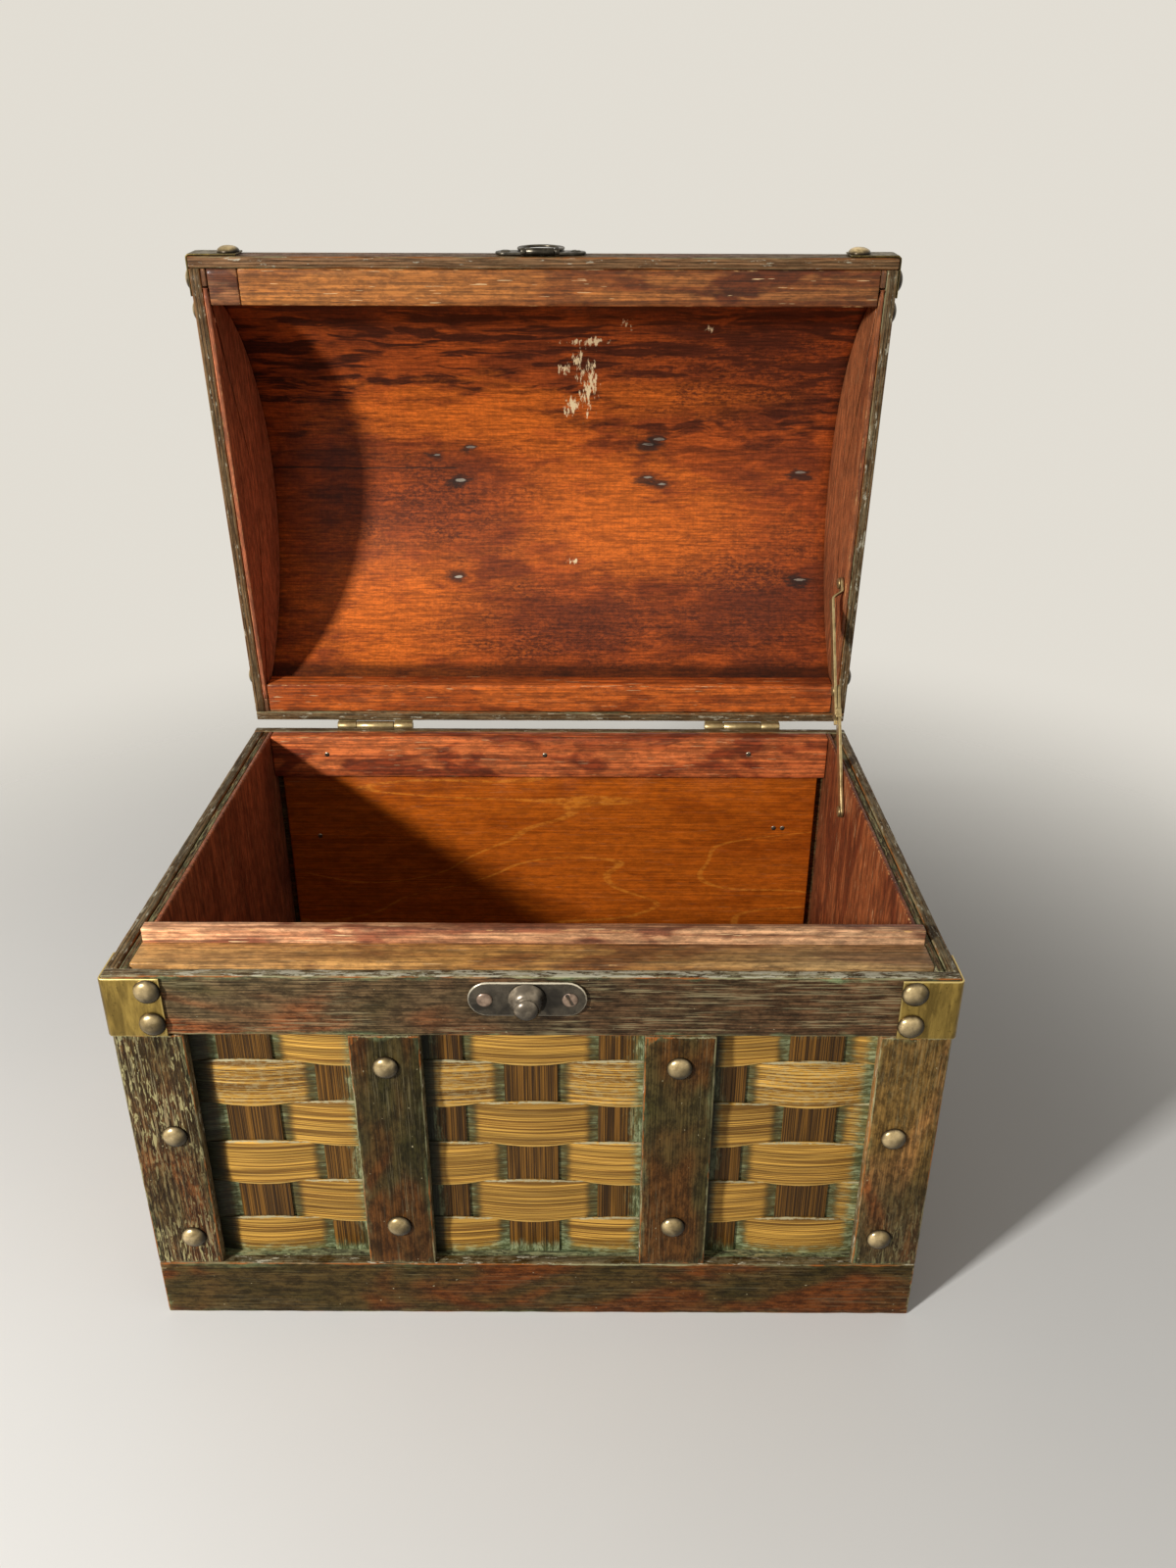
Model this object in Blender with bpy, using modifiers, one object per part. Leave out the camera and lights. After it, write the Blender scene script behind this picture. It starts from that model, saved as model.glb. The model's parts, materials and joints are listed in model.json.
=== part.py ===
# Decorative storage chest with a domed lid, standing open at its stay.
# Frames of three-ply strips hold plaited mats of wooden splints, on thin boards.
# The origin is the middle of the underside: +X right, +Y back, +Z up, in metres.

import math

import bmesh
import bpy
from mathutils import Matrix, Vector

# Overall sizes: the body's outer box, how far the lid's dome rises above its rim,
# and how far the lid stands open.
width = 0.330
depth = 0.241
height = 0.181
lid_rise = 0.0887
open_angle = math.radians(85.4)

# Clearances: between pieces that touch, between the two rims, and past a cut.
fit = 0.0003
lid_seam = 0.0005
overrun = 0.002
merge_distance = 0.000003

# Sides and steps of what is round.
rod_sides = 12
turned_sides = 16
ring_sides = 20
round_end_steps = 5
corner_steps = 3
dome_steps = 16
nail_sides = 8
nail_rings = 4

# Outer frame strips.
strip_thickness = 0.005
rail_width = 0.028
foot_rail_width = 0.030
stile_width = 0.028
mid_stile_width = 0.0285
centre_opening = 0.0885
edge_round = 0.0006

# Boards and battens of the body.
bottom_thickness = 0.005
lining_thickness = 0.0022
front_board_thickness = 0.0057
lip_height = 0.0058
lip_side_gap = 0.0009
batten_setback = 0.008
front_batten_width = 0.0155
front_batten_height = 0.024
rear_batten_thickness = 0.0082
rear_batten_height = 0.0243
back_lining_thickness = 0.003
back_lining_shadow = 0.003

# Boards and battens of the lid.
lid_rail_width = 0.016
lid_batten_width = 0.0162
lid_batten_height = 0.0122
lid_batten_recess = 0.0008
skin_thickness = 0.0037
band_thickness = 0.004

# Plaited mats: upright splints, and weavers that pass before and behind them.
upright_width = 0.022
upright_pitch = 0.0376
upright_thickness = 0.001
weaver_pitch = 0.0212
weaver_gap = 0.0005
weaver_thickness = 0.0009
weaver_bite = 0.00005
front_crown = 0.003
mat_tuck = 0.003
upright_tail = 0.002

# Dome-headed nails, and where they stand on the strips.
nail_radius = 0.00535
nail_height = 0.0032
nail_sink = 0.0003
stile_nail_drop = 0.0152
stile_nail_lift = 0.0222
corner_nail_drop = 0.051
corner_nail_lift = 0.0155
corner_nail_inset = 0.0175
lid_nail_inset = 0.0245
lid_nail_rise = 0.0082
band_nail_inset = 0.014

# Brass corner plates.
plate_thickness = 0.0008
plate_reach = 0.0225
plate_side_reach = 0.0175
plate_height = 0.027
plate_drop = 0.001
plate_round = 0.0018
plate_nail_inset = 0.0175
plate_top_nail_drop = 0.0066
plate_low_nail_drop = 0.0218
plate_side_nail_inset = 0.0105
lid_plate_height = 0.0138

# Clasp on the body. The knob's shares are of its radius and of its height.
knob_profile_shares = ((0.6, 0.9), (0.93, 0.65), (1, 0.4), (0.85, 0.1))
clasp_middle = -0.0015
clasp_length = 0.047
clasp_height = 0.0155
clasp_thickness = 0.0012
clasp_drop = 0.0096
screw_spacing = 0.033
screw_radius = 0.0032
screw_height = 0.0008
boss_radius = 0.0075
boss_height = 0.0048
boss_neck_radius = 0.0044
knob_neck_radius = 0.0031
knob_neck_height = 0.001
knob_radius = 0.0048
knob_height = 0.0032

# Catch plate and hasp on the lid.
catch_length = 0.043
catch_height = 0.0104
hasp_thickness = 0.001
hasp_barrel_radius = 0.0016
hasp_barrel_length = 0.013
hasp_knuckle_length = 0.0021
hasp_pin_radius = 0.0007
hasp_bore_radius = 0.001
hasp_hole_margin = 0.0008
hasp_ring_width = 0.0029
hasp_neck_width = 0.011

# Necks between a flat plate and its knuckles.
neck_inset = 0.00006
neck_bury = 0.0035

# Hinges.
hinge_places = (-0.0985, 0.108)
leaf_length = 0.042
leaf_height = 0.0128
leaf_thickness = 0.0012
barrel_radius = 0.0027
hinge_pin_radius = 0.0011
hinge_bore_radius = 0.0014
middle_knuckle_length = 0.0206

# Lid stay on the right: two flat arms, in line when the lid stands open.
stay_arm_width = 0.0065
stay_arm_thickness = 0.0015
stay_wall_gap = 0.0005
stay_foot_from_back = 0.0649
stay_foot_drop = 0.0187
stay_head_from_axis = 0.083
stay_head_depth = 0.007
stay_lower_length = 0.064
stay_tail_length = 0.015
stay_joggle_start = 0.005
stay_joggle_run = 0.003
stay_pin_radius = 0.0016
stay_bore_radius = 0.0019
stay_pin_head_radius = 0.003
stay_pin_head_height = 0.001
stay_pin_head_rim = 0.0005
stay_pin_top_radius = 0.0024
stay_lug_length = 0.005
stay_lug_thickness = 0.0012

# Values that follow from the sizes above.
front_face = -depth / 2
back_face = depth / 2
frame_back = strip_thickness + fit
inner_wall = width / 2 - frame_back
hinge_reach = barrel_radius + fit
hinge_y = back_face + hinge_reach
lid_mid = -hinge_y
dome_radius = ((depth / 2) ** 2 + lid_rise**2) / (2 * lid_rise)
dome_middle = lid_seam - (dome_radius - lid_rise)
step_half_angle = math.acos((lid_seam - dome_middle) / dome_radius) / dome_steps
touch_level = (upright_thickness + weaver_thickness) / 2 - weaver_bite
loose_level = touch_level + 2 * weaver_bite
mat_behind = loose_level + weaver_thickness / 2
flat_mat_thickness = mat_behind * 2
front_mat_thickness = front_crown + weaver_thickness / 2 + mat_behind
lining_face = inner_wall - flat_mat_thickness - fit - lining_thickness
lid_lining_face = inner_wall - lining_thickness
rim_mat_top = height - front_batten_height - fit

parts = None
guides = None


def start_scene():
    for item in list(bpy.data.objects):
        bpy.data.objects.remove(item)


def new_collection(name):
    group = bpy.data.collections.new(name)
    bpy.context.scene.collection.children.link(group)
    return group


def new_material(name, colour, roughness, metallic):
    paint = bpy.data.materials.new(name)
    paint.use_nodes = True
    shader = paint.node_tree.nodes["Principled BSDF"]
    shader.inputs["Base Color"].default_value = (*colour, 1)
    shader.inputs["Roughness"].default_value = roughness
    shader.inputs["Metallic"].default_value = metallic
    paint.diffuse_color = (*colour, 1)
    return paint


def new_object(name, mesh, paint, owner=None, place=(0, 0, 0)):
    item = bpy.data.objects.new(name, mesh)
    item.location = place
    item.parent = owner
    if paint is None:
        guides.objects.link(item)
        item.hide_render = True
        item.display_type = "WIRE"
    else:
        parts.objects.link(item)
        mesh.materials.append(paint)
    return item


def new_axis(name, place, turn=0, owner=None):
    axis = bpy.data.objects.new(name, None)
    axis.location = place
    axis.rotation_euler = (turn, 0, 0)
    axis.parent = owner
    parts.objects.link(axis)
    return axis


def mesh_from(bm, name):
    mesh = bpy.data.meshes.new(name)
    bm.to_mesh(mesh)
    bm.free()
    return mesh


def add_boolean(item, tool, operation):
    modifier = item.modifiers.new(operation.title(), "BOOLEAN")
    modifier.operation = operation
    modifier.object = tool
    return modifier


def add_box(bm, low, high):
    size = Vector(high) - Vector(low)
    middle = (Vector(high) + Vector(low)) / 2
    matrix = Matrix.Translation(middle) @ Matrix.Diagonal((*size, 1))
    return bmesh.ops.create_cube(bm, size=1, matrix=matrix)["verts"]


# A board given by its two opposite corners, with its edges eased.
def board(name, low, high, paint, owner=None):
    size = Vector(high) - Vector(low)
    middle = (Vector(high) + Vector(low)) / 2
    bm = bmesh.new()
    bmesh.ops.create_cube(bm, size=1, matrix=Matrix.Diagonal((*size, 1)))
    item = new_object(name, mesh_from(bm, name), paint, owner, middle)
    bevel = item.modifiers.new("Bevel", "BEVEL")
    bevel.width = edge_round
    bevel.segments = 1
    return item


# A flat outline in X and Y, made thick along Z about its own plane.
def outline_mesh(name, points, thickness):
    curve = bpy.data.curves.new(name, "CURVE")
    curve.dimensions = "2D"
    curve.fill_mode = "BOTH"
    curve.extrude = thickness / 2
    spline = curve.splines.new("POLY")
    spline.points.add(len(points) - 1)
    for point, (x, y) in zip(spline.points, points):
        point.co = (x, y, 0, 1)
    spline.use_cyclic_u = True
    drawn = bpy.data.objects.new(name, curve)
    guides.objects.link(drawn)
    seen = drawn.evaluated_get(bpy.context.evaluated_depsgraph_get())
    bm = bmesh.new()
    bm.from_mesh(seen.to_mesh())
    bmesh.ops.remove_doubles(bm, verts=bm.verts, dist=merge_distance)
    bmesh.ops.recalc_face_normals(bm, faces=bm.faces)
    bpy.data.objects.remove(drawn)
    return mesh_from(bm, name)


# The same outline standing in Y and Z, made thick along X.
def standing_mesh(name, points, thickness):
    mesh = outline_mesh(name, points, thickness)
    mesh.transform(Matrix(((0, 0, 1, 0), (1, 0, 0, 0), (0, 1, 0, 0), (0, 0, 0, 1))))
    return mesh


def arc(middle_x, middle_y, radius, start, end, steps):
    turns = [start + (end - start) * step / steps for step in range(steps + 1)]
    return [(middle_x + radius * math.cos(turn), middle_y + radius * math.sin(turn)) for turn in turns]


# A long hole or bar with round ends, from one end's centre to the other.
def stadium(start, end, radius):
    right = arc(end, 0, radius, -math.pi / 2, math.pi / 2, round_end_steps)
    left = arc(start, 0, radius, math.pi / 2, 3 * math.pi / 2, round_end_steps)
    return right + left


# A rod along X, from one end to the other.
def add_rod(bm, start, end, radius, y=0):
    across = Matrix.Rotation(math.pi / 2, 4, "Y") @ Matrix.Rotation(math.pi / rod_sides, 4, "Z")
    add_cylinder(bm, radius, end - start, Matrix.Translation(((start + end) / 2, y, 0)) @ across, rod_sides)


def add_cylinder(bm, radius, length, matrix, sides, far_radius=None):
    bmesh.ops.create_cone(
        bm,
        cap_ends=True,
        segments=sides,
        radius1=radius,
        radius2=radius if far_radius is None else far_radius,
        depth=length,
        matrix=matrix,
    )


# A turned piece: pairs of radius and height, from the top of its outside down.
def turned(name, profile, paint, owner, place, turn):
    bm = bmesh.new()
    line = [bm.verts.new((radius, 0, level)) for radius, level in profile]
    for pair in zip(line, line[1:]):
        bm.edges.new(pair)
    item = new_object(name, mesh_from(bm, name), paint, owner, place)
    item.rotation_euler = turn
    screw = item.modifiers.new("Screw", "SCREW")
    screw.steps = turned_sides
    screw.render_steps = turned_sides
    screw.use_merge_vertices = True
    screw.merge_threshold = merge_distance
    return item


# Half-round nail heads on a piece: each place is a point and the way it faces.
def drive_nails(item, places):
    bm = bmesh.new()
    for point, facing in places:
        turn = Vector(facing).to_track_quat("Z", "Y").to_matrix().to_4x4()
        squash = Matrix.Diagonal((nail_radius, nail_radius, nail_height, 1))
        matrix = Matrix.Translation(Vector(point) - nail_sink * Vector(facing)) @ turn @ squash
        head = bmesh.ops.create_uvsphere(bm, u_segments=nail_sides, v_segments=nail_rings, radius=1)["verts"]
        below = [vert for vert in head if vert.co.z < -1 / nail_rings]
        rim = [vert for vert in head if abs(vert.co.z) < 1 / nail_rings]
        bmesh.ops.delete(bm, geom=below, context="VERTS")
        bmesh.ops.contextual_create(bm, geom=rim)
        kept = {vert for vert in head if vert.is_valid}
        bmesh.ops.transform(bm, matrix=matrix, verts=list(kept))
    bmesh.ops.recalc_face_normals(bm, faces=bm.faces)
    heads = new_object(item.name + "_nails", mesh_from(bm, item.name + "_nails"), None, item.parent)
    add_boolean(item, heads, "UNION")


# Shares of half a pitch where a weaver bends: at both ends of its flat crossing, or
# for a crowned one where it lifts off the upright and where its bulge is full.
flat_bend_shares = (-0.62, 0.62)
lift_share = 0.9 * upright_width / upright_pitch
crown_bend_shares = (-lift_share, -lift_share / 3, lift_share / 3, lift_share)
flat_fullness_share = 2
crown_fullness_share = 1.16


# How far a weaver stands before the uprights' middle plane at one place along it. It
# is fast to the uprights that it passes in front of, and the first one to all of them.
def weaver_level(along, phase_share, row, crown):
    crossing = round(along / upright_pitch - phase_share)
    share = (along - (crossing + phase_share) * upright_pitch) / (upright_pitch / 2)
    fullness = min(1, flat_fullness_share * math.cos(math.pi / 2 * share))
    if (crossing + row) % 2 == 0:
        return -fullness * (loose_level if row else touch_level)
    level = touch_level * fullness
    if abs(share) < lift_share:
        bulge = min(1, crown_fullness_share * math.cos(math.pi / 2 * share / lift_share))
        level += (crown - touch_level) * bulge
    return level


# The numbers of the uprights that stand whole between two ends of a mat.
def uprights_between(start, end, phase_share):
    reach = math.ceil(max(abs(start), abs(end)) / upright_pitch) + 1
    margin = upright_width / 2
    numbers = range(-reach, reach + 1)
    return [i for i in numbers if start + margin < (i + phase_share) * upright_pitch < end - margin]


def weaver_path(start, end, phase_share, row, crown):
    stops = [start, end]
    for crossing in uprights_between(start, end, phase_share):
        crowned = crown > touch_level and (crossing + row) % 2
        for share in crown_bend_shares if crowned else flat_bend_shares:
            stops.append((crossing + phase_share + share / 2) * upright_pitch)
    return [(along, weaver_level(along, phase_share, row, crown)) for along in sorted(stops)]


# A plaited mat: weavers along X, stacked up Z in front of and behind the uprights.
def woven_mesh(name, start, end, low, rows, pitch, crown, phase_share=0, cut_uprights=False):
    bm = bmesh.new()
    for row in range(rows):
        path = weaver_path(start, end, phase_share, row, crown)
        bottom = low + row * pitch + weaver_gap / 2
        line = [bm.verts.new((along, -level, bottom)) for along, level in path]
        edges = [bm.edges.new(pair) for pair in zip(line, line[1:])]
        swept = bmesh.ops.extrude_edge_only(bm, edges=edges)["geom"]
        top = [item for item in swept if isinstance(item, bmesh.types.BMVert)]
        bmesh.ops.translate(bm, verts=top, vec=(0, 0, pitch - weaver_gap))
    weavers = new_object(name + "_weavers", mesh_from(bm, name + "_weavers"), None)
    solidify = weavers.modifiers.new("Solidify", "SOLIDIFY")
    solidify.thickness = weaver_thickness
    solidify.offset = 0

    bm = bmesh.new()
    half = upright_width / 2
    edge = upright_thickness / 2
    tail = -weaver_gap if cut_uprights else upright_tail
    for crossing in uprights_between(start, end, phase_share):
        middle = (crossing + phase_share) * upright_pitch
        low_corner = (middle - half, -edge, low - tail)
        add_box(bm, low_corner, (middle + half, edge, low + rows * pitch + tail))
    if cut_uprights:
        for row in range(1, rows):
            level = (0, 0, low + row * pitch)
            every = bm.verts[:] + bm.edges[:] + bm.faces[:]
            bmesh.ops.bisect_plane(bm, geom=every, plane_co=level, plane_no=(0, 0, 1))
    uprights = new_object(name + "_uprights", mesh_from(bm, name + "_uprights"), None)
    add_boolean(weavers, uprights, "UNION")
    seen = weavers.evaluated_get(bpy.context.evaluated_depsgraph_get())
    bm = bmesh.new()
    bm.from_mesh(seen.to_mesh())
    bmesh.ops.triangulate(bm, faces=bm.faces)
    bpy.data.objects.remove(weavers)
    bpy.data.objects.remove(uprights)
    return mesh_from(bm, name)


def body_boards(wood, lining):
    front_board_front = front_face + batten_setback + front_batten_width + fit
    board(
        "bottom_board",
        (-inner_wall, front_face + frame_back, 0),
        (inner_wall, back_face - frame_back, bottom_thickness),
        lining,
    )
    floor = bottom_thickness + fit
    board(
        "front_board",
        (lip_side_gap - lid_lining_face, front_board_front, floor),
        (lid_lining_face - lip_side_gap, front_board_front + front_board_thickness, height + lip_height),
        lining,
    )
    mat_side = inner_wall - flat_mat_thickness - fit
    board(
        "front_batten",
        (-mat_side, front_face + batten_setback, height - front_batten_height),
        (mat_side, front_face + batten_setback + front_batten_width, height),
        lining,
    )
    lining_front = front_board_front + front_board_thickness + fit
    for side, name in ((-1, "side_lining_left"), (1, "side_lining_right")):
        faces = sorted((side * lining_face, side * (lining_face + lining_thickness)))
        board(name, (faces[0], lining_front, floor), (faces[1], back_face - frame_back, height), lining)
    between = lining_face - fit
    board("back_board", (-width / 2, back_face - strip_thickness, 0), (width / 2, back_face, height), wood)
    batten_low = height - rear_batten_height
    batten_front = back_face - frame_back - rear_batten_thickness
    batten_back = back_face - frame_back
    board("rear_batten", (-between, batten_front, batten_low), (between, batten_back, height), lining)
    panel_side = between - back_lining_shadow
    board(
        "back_lining",
        (-panel_side, back_face - frame_back - back_lining_thickness, floor),
        (panel_side, back_face - frame_back, batten_low - fit),
        lining,
    )


def body_frames(wood):
    edge = width / 2
    stile_low = foot_rail_width + fit
    stile_high = height - rail_width - fit
    front_y = (front_face, front_face + strip_thickness)
    board("front_rail_top", (-edge, front_y[0], height - rail_width), (edge, front_y[1], height), wood)
    board("front_rail_bottom", (-edge, front_y[0], 0), (edge, front_y[1], foot_rail_width), wood)

    inner = centre_opening / 2
    middle = inner + mid_stile_width / 2
    mid_nails = (stile_high - stile_nail_drop, stile_low + stile_nail_lift)
    corner_nails = (stile_high - corner_nail_drop, stile_low + corner_nail_lift)
    corner_nail_x = edge - corner_nail_inset
    stiles = (
        ("front_stile_left", -edge, -edge + stile_width, -corner_nail_x, corner_nails),
        ("front_stile_mid_left", -inner - mid_stile_width, -inner, -middle, mid_nails),
        ("front_stile_mid_right", inner, inner + mid_stile_width, middle, mid_nails),
        ("front_stile_right", edge - stile_width, edge, corner_nail_x, corner_nails),
    )
    for name, left, right, nail_x, nail_levels in stiles:
        stile = board(name, (left, front_y[0], stile_low), (right, front_y[1], stile_high), wood)
        drive_nails(stile, [((nail_x, front_face, level), (0, -1, 0)) for level in nail_levels])

    front_end = front_face + frame_back
    back_end = back_face - frame_back
    bounds = (
        ("front", front_end, front_face + stile_width),
        ("mid", -stile_width / 2, stile_width / 2),
        ("rear", back_face - stile_width, back_end),
    )
    for side, hand in ((-1, "left"), (1, "right")):
        low_x, high_x = sorted((side * edge, side * (edge - strip_thickness)))
        facing = (side, 0, 0)
        top = board(
            f"{hand}_rail_top", (low_x, front_end, height - rail_width), (high_x, back_end, height), wood
        )
        rear_nail = (side * edge, back_face - corner_nail_inset, height - rail_width / 2)
        drive_nails(top, [(rear_nail, facing)])
        board(f"{hand}_rail_bottom", (low_x, front_end, 0), (high_x, back_end, foot_rail_width), wood)
        for place, near, far in bounds:
            stile = board(f"{hand}_stile_{place}", (low_x, near, stile_low), (high_x, far, stile_high), wood)
            nail_y = (near + far) / 2
            drive_nails(stile, [((side * edge, nail_y, level), facing) for level in mid_nails])


def body_mats(splint):
    low = foot_rail_width - mat_tuck
    rows = round((rim_mat_top - upright_tail - low) / weaver_pitch)
    pitch = (rim_mat_top - upright_tail - low) / rows
    reach = inner_wall - fit
    mesh = woven_mesh("front_weave", -reach, reach, low, rows, pitch, front_crown)
    middle_y = front_face + frame_back + front_crown + weaver_thickness / 2
    new_object("front_weave", mesh, splint, place=(0, middle_y, 0))

    side_front = front_face + frame_back + front_mat_thickness + fit
    side_back = back_face - frame_back
    middle_x = inner_wall - mat_behind
    for side, name in ((-1, "left_weave"), (1, "right_weave")):
        start, end = sorted((side * side_front, side * side_back))
        mesh = woven_mesh(name, start, end, low, rows, pitch, touch_level, phase_share=0.5)
        mat = new_object(name, mesh, splint, place=(side * middle_x, 0, 0))
        mat.rotation_euler = (0, 0, side * math.pi / 2)


# An L of sheet round a front corner: its outer edge is rounded, its legs are flat.
def corner_plate(name, side, low, tall, nails, brass, owner, corner_y):
    inner_x = width / 2 + fit
    inner_y = corner_y - fit
    outer_x = inner_x + plate_thickness
    outer_y = inner_y - plate_thickness
    leg_x = width / 2 - plate_reach
    leg_y = corner_y + plate_side_reach
    bend = arc(outer_x - plate_round, outer_y + plate_round, plate_round, 0, -math.pi / 2, corner_steps)
    inside = [(leg_x, inner_y), (inner_x, inner_y), (inner_x, leg_y)]
    points = [*inside, (outer_x, leg_y), *bend, (leg_x, outer_y)]
    mesh = outline_mesh(name, [(side * x, y) for x, y in points], tall)
    plate = new_object(name, mesh, brass, owner, (0, 0, low + tall / 2))
    front_nails = [((side * (width / 2 - plate_nail_inset), outer_y, level), (0, -1, 0)) for level in nails]
    side_nail = ((side * outer_x, corner_y + plate_side_nail_inset, sum(nails) / len(nails)), (side, 0, 0))
    drive_nails(plate, [*front_nails, side_nail])


def body_hardware(brass, bronze):
    low = height - plate_drop - plate_height
    nails = (height - plate_top_nail_drop, height - plate_low_nail_drop)
    for side, hand in ((-1, "left"), (1, "right")):
        corner_plate(f"corner_plate_{hand}", side, low, plate_height, nails, brass, None, front_face)

    plate_back = front_face - fit
    half = clasp_length / 2 - clasp_height / 2
    points = stadium(-half, half, clasp_height / 2)
    mesh = outline_mesh("clasp_plate", points, clasp_thickness)
    place = (clasp_middle, plate_back - clasp_thickness / 2, height - clasp_drop)
    plate = new_object("clasp_plate", mesh, bronze, None, place)
    plate.rotation_euler = (math.pi / 2, 0, 0)
    add_screw_heads(plate, place, clasp_thickness, None)

    rise = boss_height + knob_neck_height
    head = [(knob_radius * out, rise + knob_height * up) for out, up in knob_profile_shares]
    profile = (
        (0, rise + knob_height),
        *head,
        (knob_neck_radius, rise),
        (knob_neck_radius, boss_height),
        (boss_neck_radius, boss_height),
        (boss_radius, 0),
        (0, 0),
    )
    knob_y = plate_back - clasp_thickness - fit
    turn = (math.pi / 2, 0, 0)
    turned("clasp_knob", profile, bronze, None, (clasp_middle, knob_y, place[2]), turn)


def add_screw_heads(plate, place, thickness, owner):
    bm = bmesh.new()
    for side in (-1, 1):
        level = thickness / 2 + screw_height / 2
        matrix = Matrix.Translation((side * screw_spacing / 2, 0, level - nail_sink / 2))
        add_cylinder(bm, screw_radius, screw_height + nail_sink, matrix, rod_sides)
    heads = new_object(plate.name + "_screws", mesh_from(bm, plate.name + "_screws"), None, owner, place)
    heads.rotation_euler = plate.rotation_euler
    add_boolean(plate, heads, "UNION")


# One leaf of a hinge about an axis along X. The leaf hangs down, or stands up.
def hinge_leaf(name, middle_x, up, knuckles, brass, owner, axis_place):
    near = -hinge_reach + fit
    far = near + leaf_thickness
    clear = barrel_radius + fit
    bm = bmesh.new()
    levels = sorted((up * clear, up * (clear + leaf_height)))
    half = leaf_length / 2
    add_box(bm, (-half, near, levels[0]), (half, far, levels[1]))
    leaf = new_object(name, mesh_from(bm, name), brass, owner, (middle_x, axis_place[0], axis_place[1]))

    bm = bmesh.new()
    bore = bmesh.new()
    for start, end in knuckles:
        add_rod(bm, start, end, barrel_radius)
        add_rod(bore, start - overrun, end + overrun, hinge_bore_radius)
    barrels = new_object(name + "_barrels", mesh_from(bm, name + "_barrels"), None, owner, leaf.location)
    bm = bmesh.new()
    for start, end in knuckles:
        neck = sorted((0, up * (clear + neck_bury)))
        near_corner = (start + neck_inset, near + neck_inset, neck[0])
        add_box(bm, near_corner, (end - neck_inset, far - neck_inset, neck[1]))
    necks = new_object(name + "_necks", mesh_from(bm, name + "_necks"), None, owner, leaf.location)
    drill = new_object(name + "_bore", mesh_from(bore, name + "_bore"), None, owner, leaf.location)
    add_boolean(leaf, necks, "UNION")
    add_boolean(leaf, barrels, "UNION")
    add_boolean(leaf, drill, "DIFFERENCE")


def hinges(brass, lid_axis):
    half = leaf_length / 2
    inner = middle_knuckle_length / 2
    for middle_x, hand in zip(hinge_places, ("left", "right")):
        hinge_leaf(
            f"hinge_body_leaf_{hand}", middle_x, -1, [(-inner, inner)], brass, None, (hinge_y, height)
        )
        outer = [(-half, -inner - fit), (inner + fit, half)]
        hinge_leaf(f"hinge_lid_leaf_{hand}", middle_x, 1, outer, brass, lid_axis, (0, 0))
        bm = bmesh.new()
        add_rod(bm, -half, half, hinge_pin_radius)
        name = f"hinge_pin_{hand}"
        new_object(name, mesh_from(bm, name), brass, None, (middle_x, hinge_y, height))


# The layers under the dome's bands, from the mat inwards. The dome's outside is an
# arc through both outer rim edges, lid_rise high.
def dome_layers():
    mat_middle = (dome_radius - band_thickness - fit) * math.cos(step_half_angle) - mat_behind
    foot = lid_seam + lid_batten_recess + lid_batten_height + fit
    mat_back = mat_middle - mat_behind
    mat_angle = math.acos((foot - dome_middle) / mat_back)
    rows = round(2 * mat_angle * mat_middle / weaver_pitch)
    skin_outer = mat_back * math.cos(mat_angle / rows) - fit
    return mat_middle, mat_angle, rows, skin_outer, foot


# A bent strip along the dome, as an arch of two radii, cut off level at its feet.
def arch_mesh(name, inner, outer, foot, across):
    spread = math.acos((foot - dome_middle) / inner)
    return standing_mesh(name, dome_arc(outer, spread) + dome_arc(inner, -spread), across)


def dome_arc(radius, spread):
    return arc(lid_mid, dome_middle, radius, math.pi / 2 - spread, math.pi / 2 + spread, dome_steps)


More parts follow.
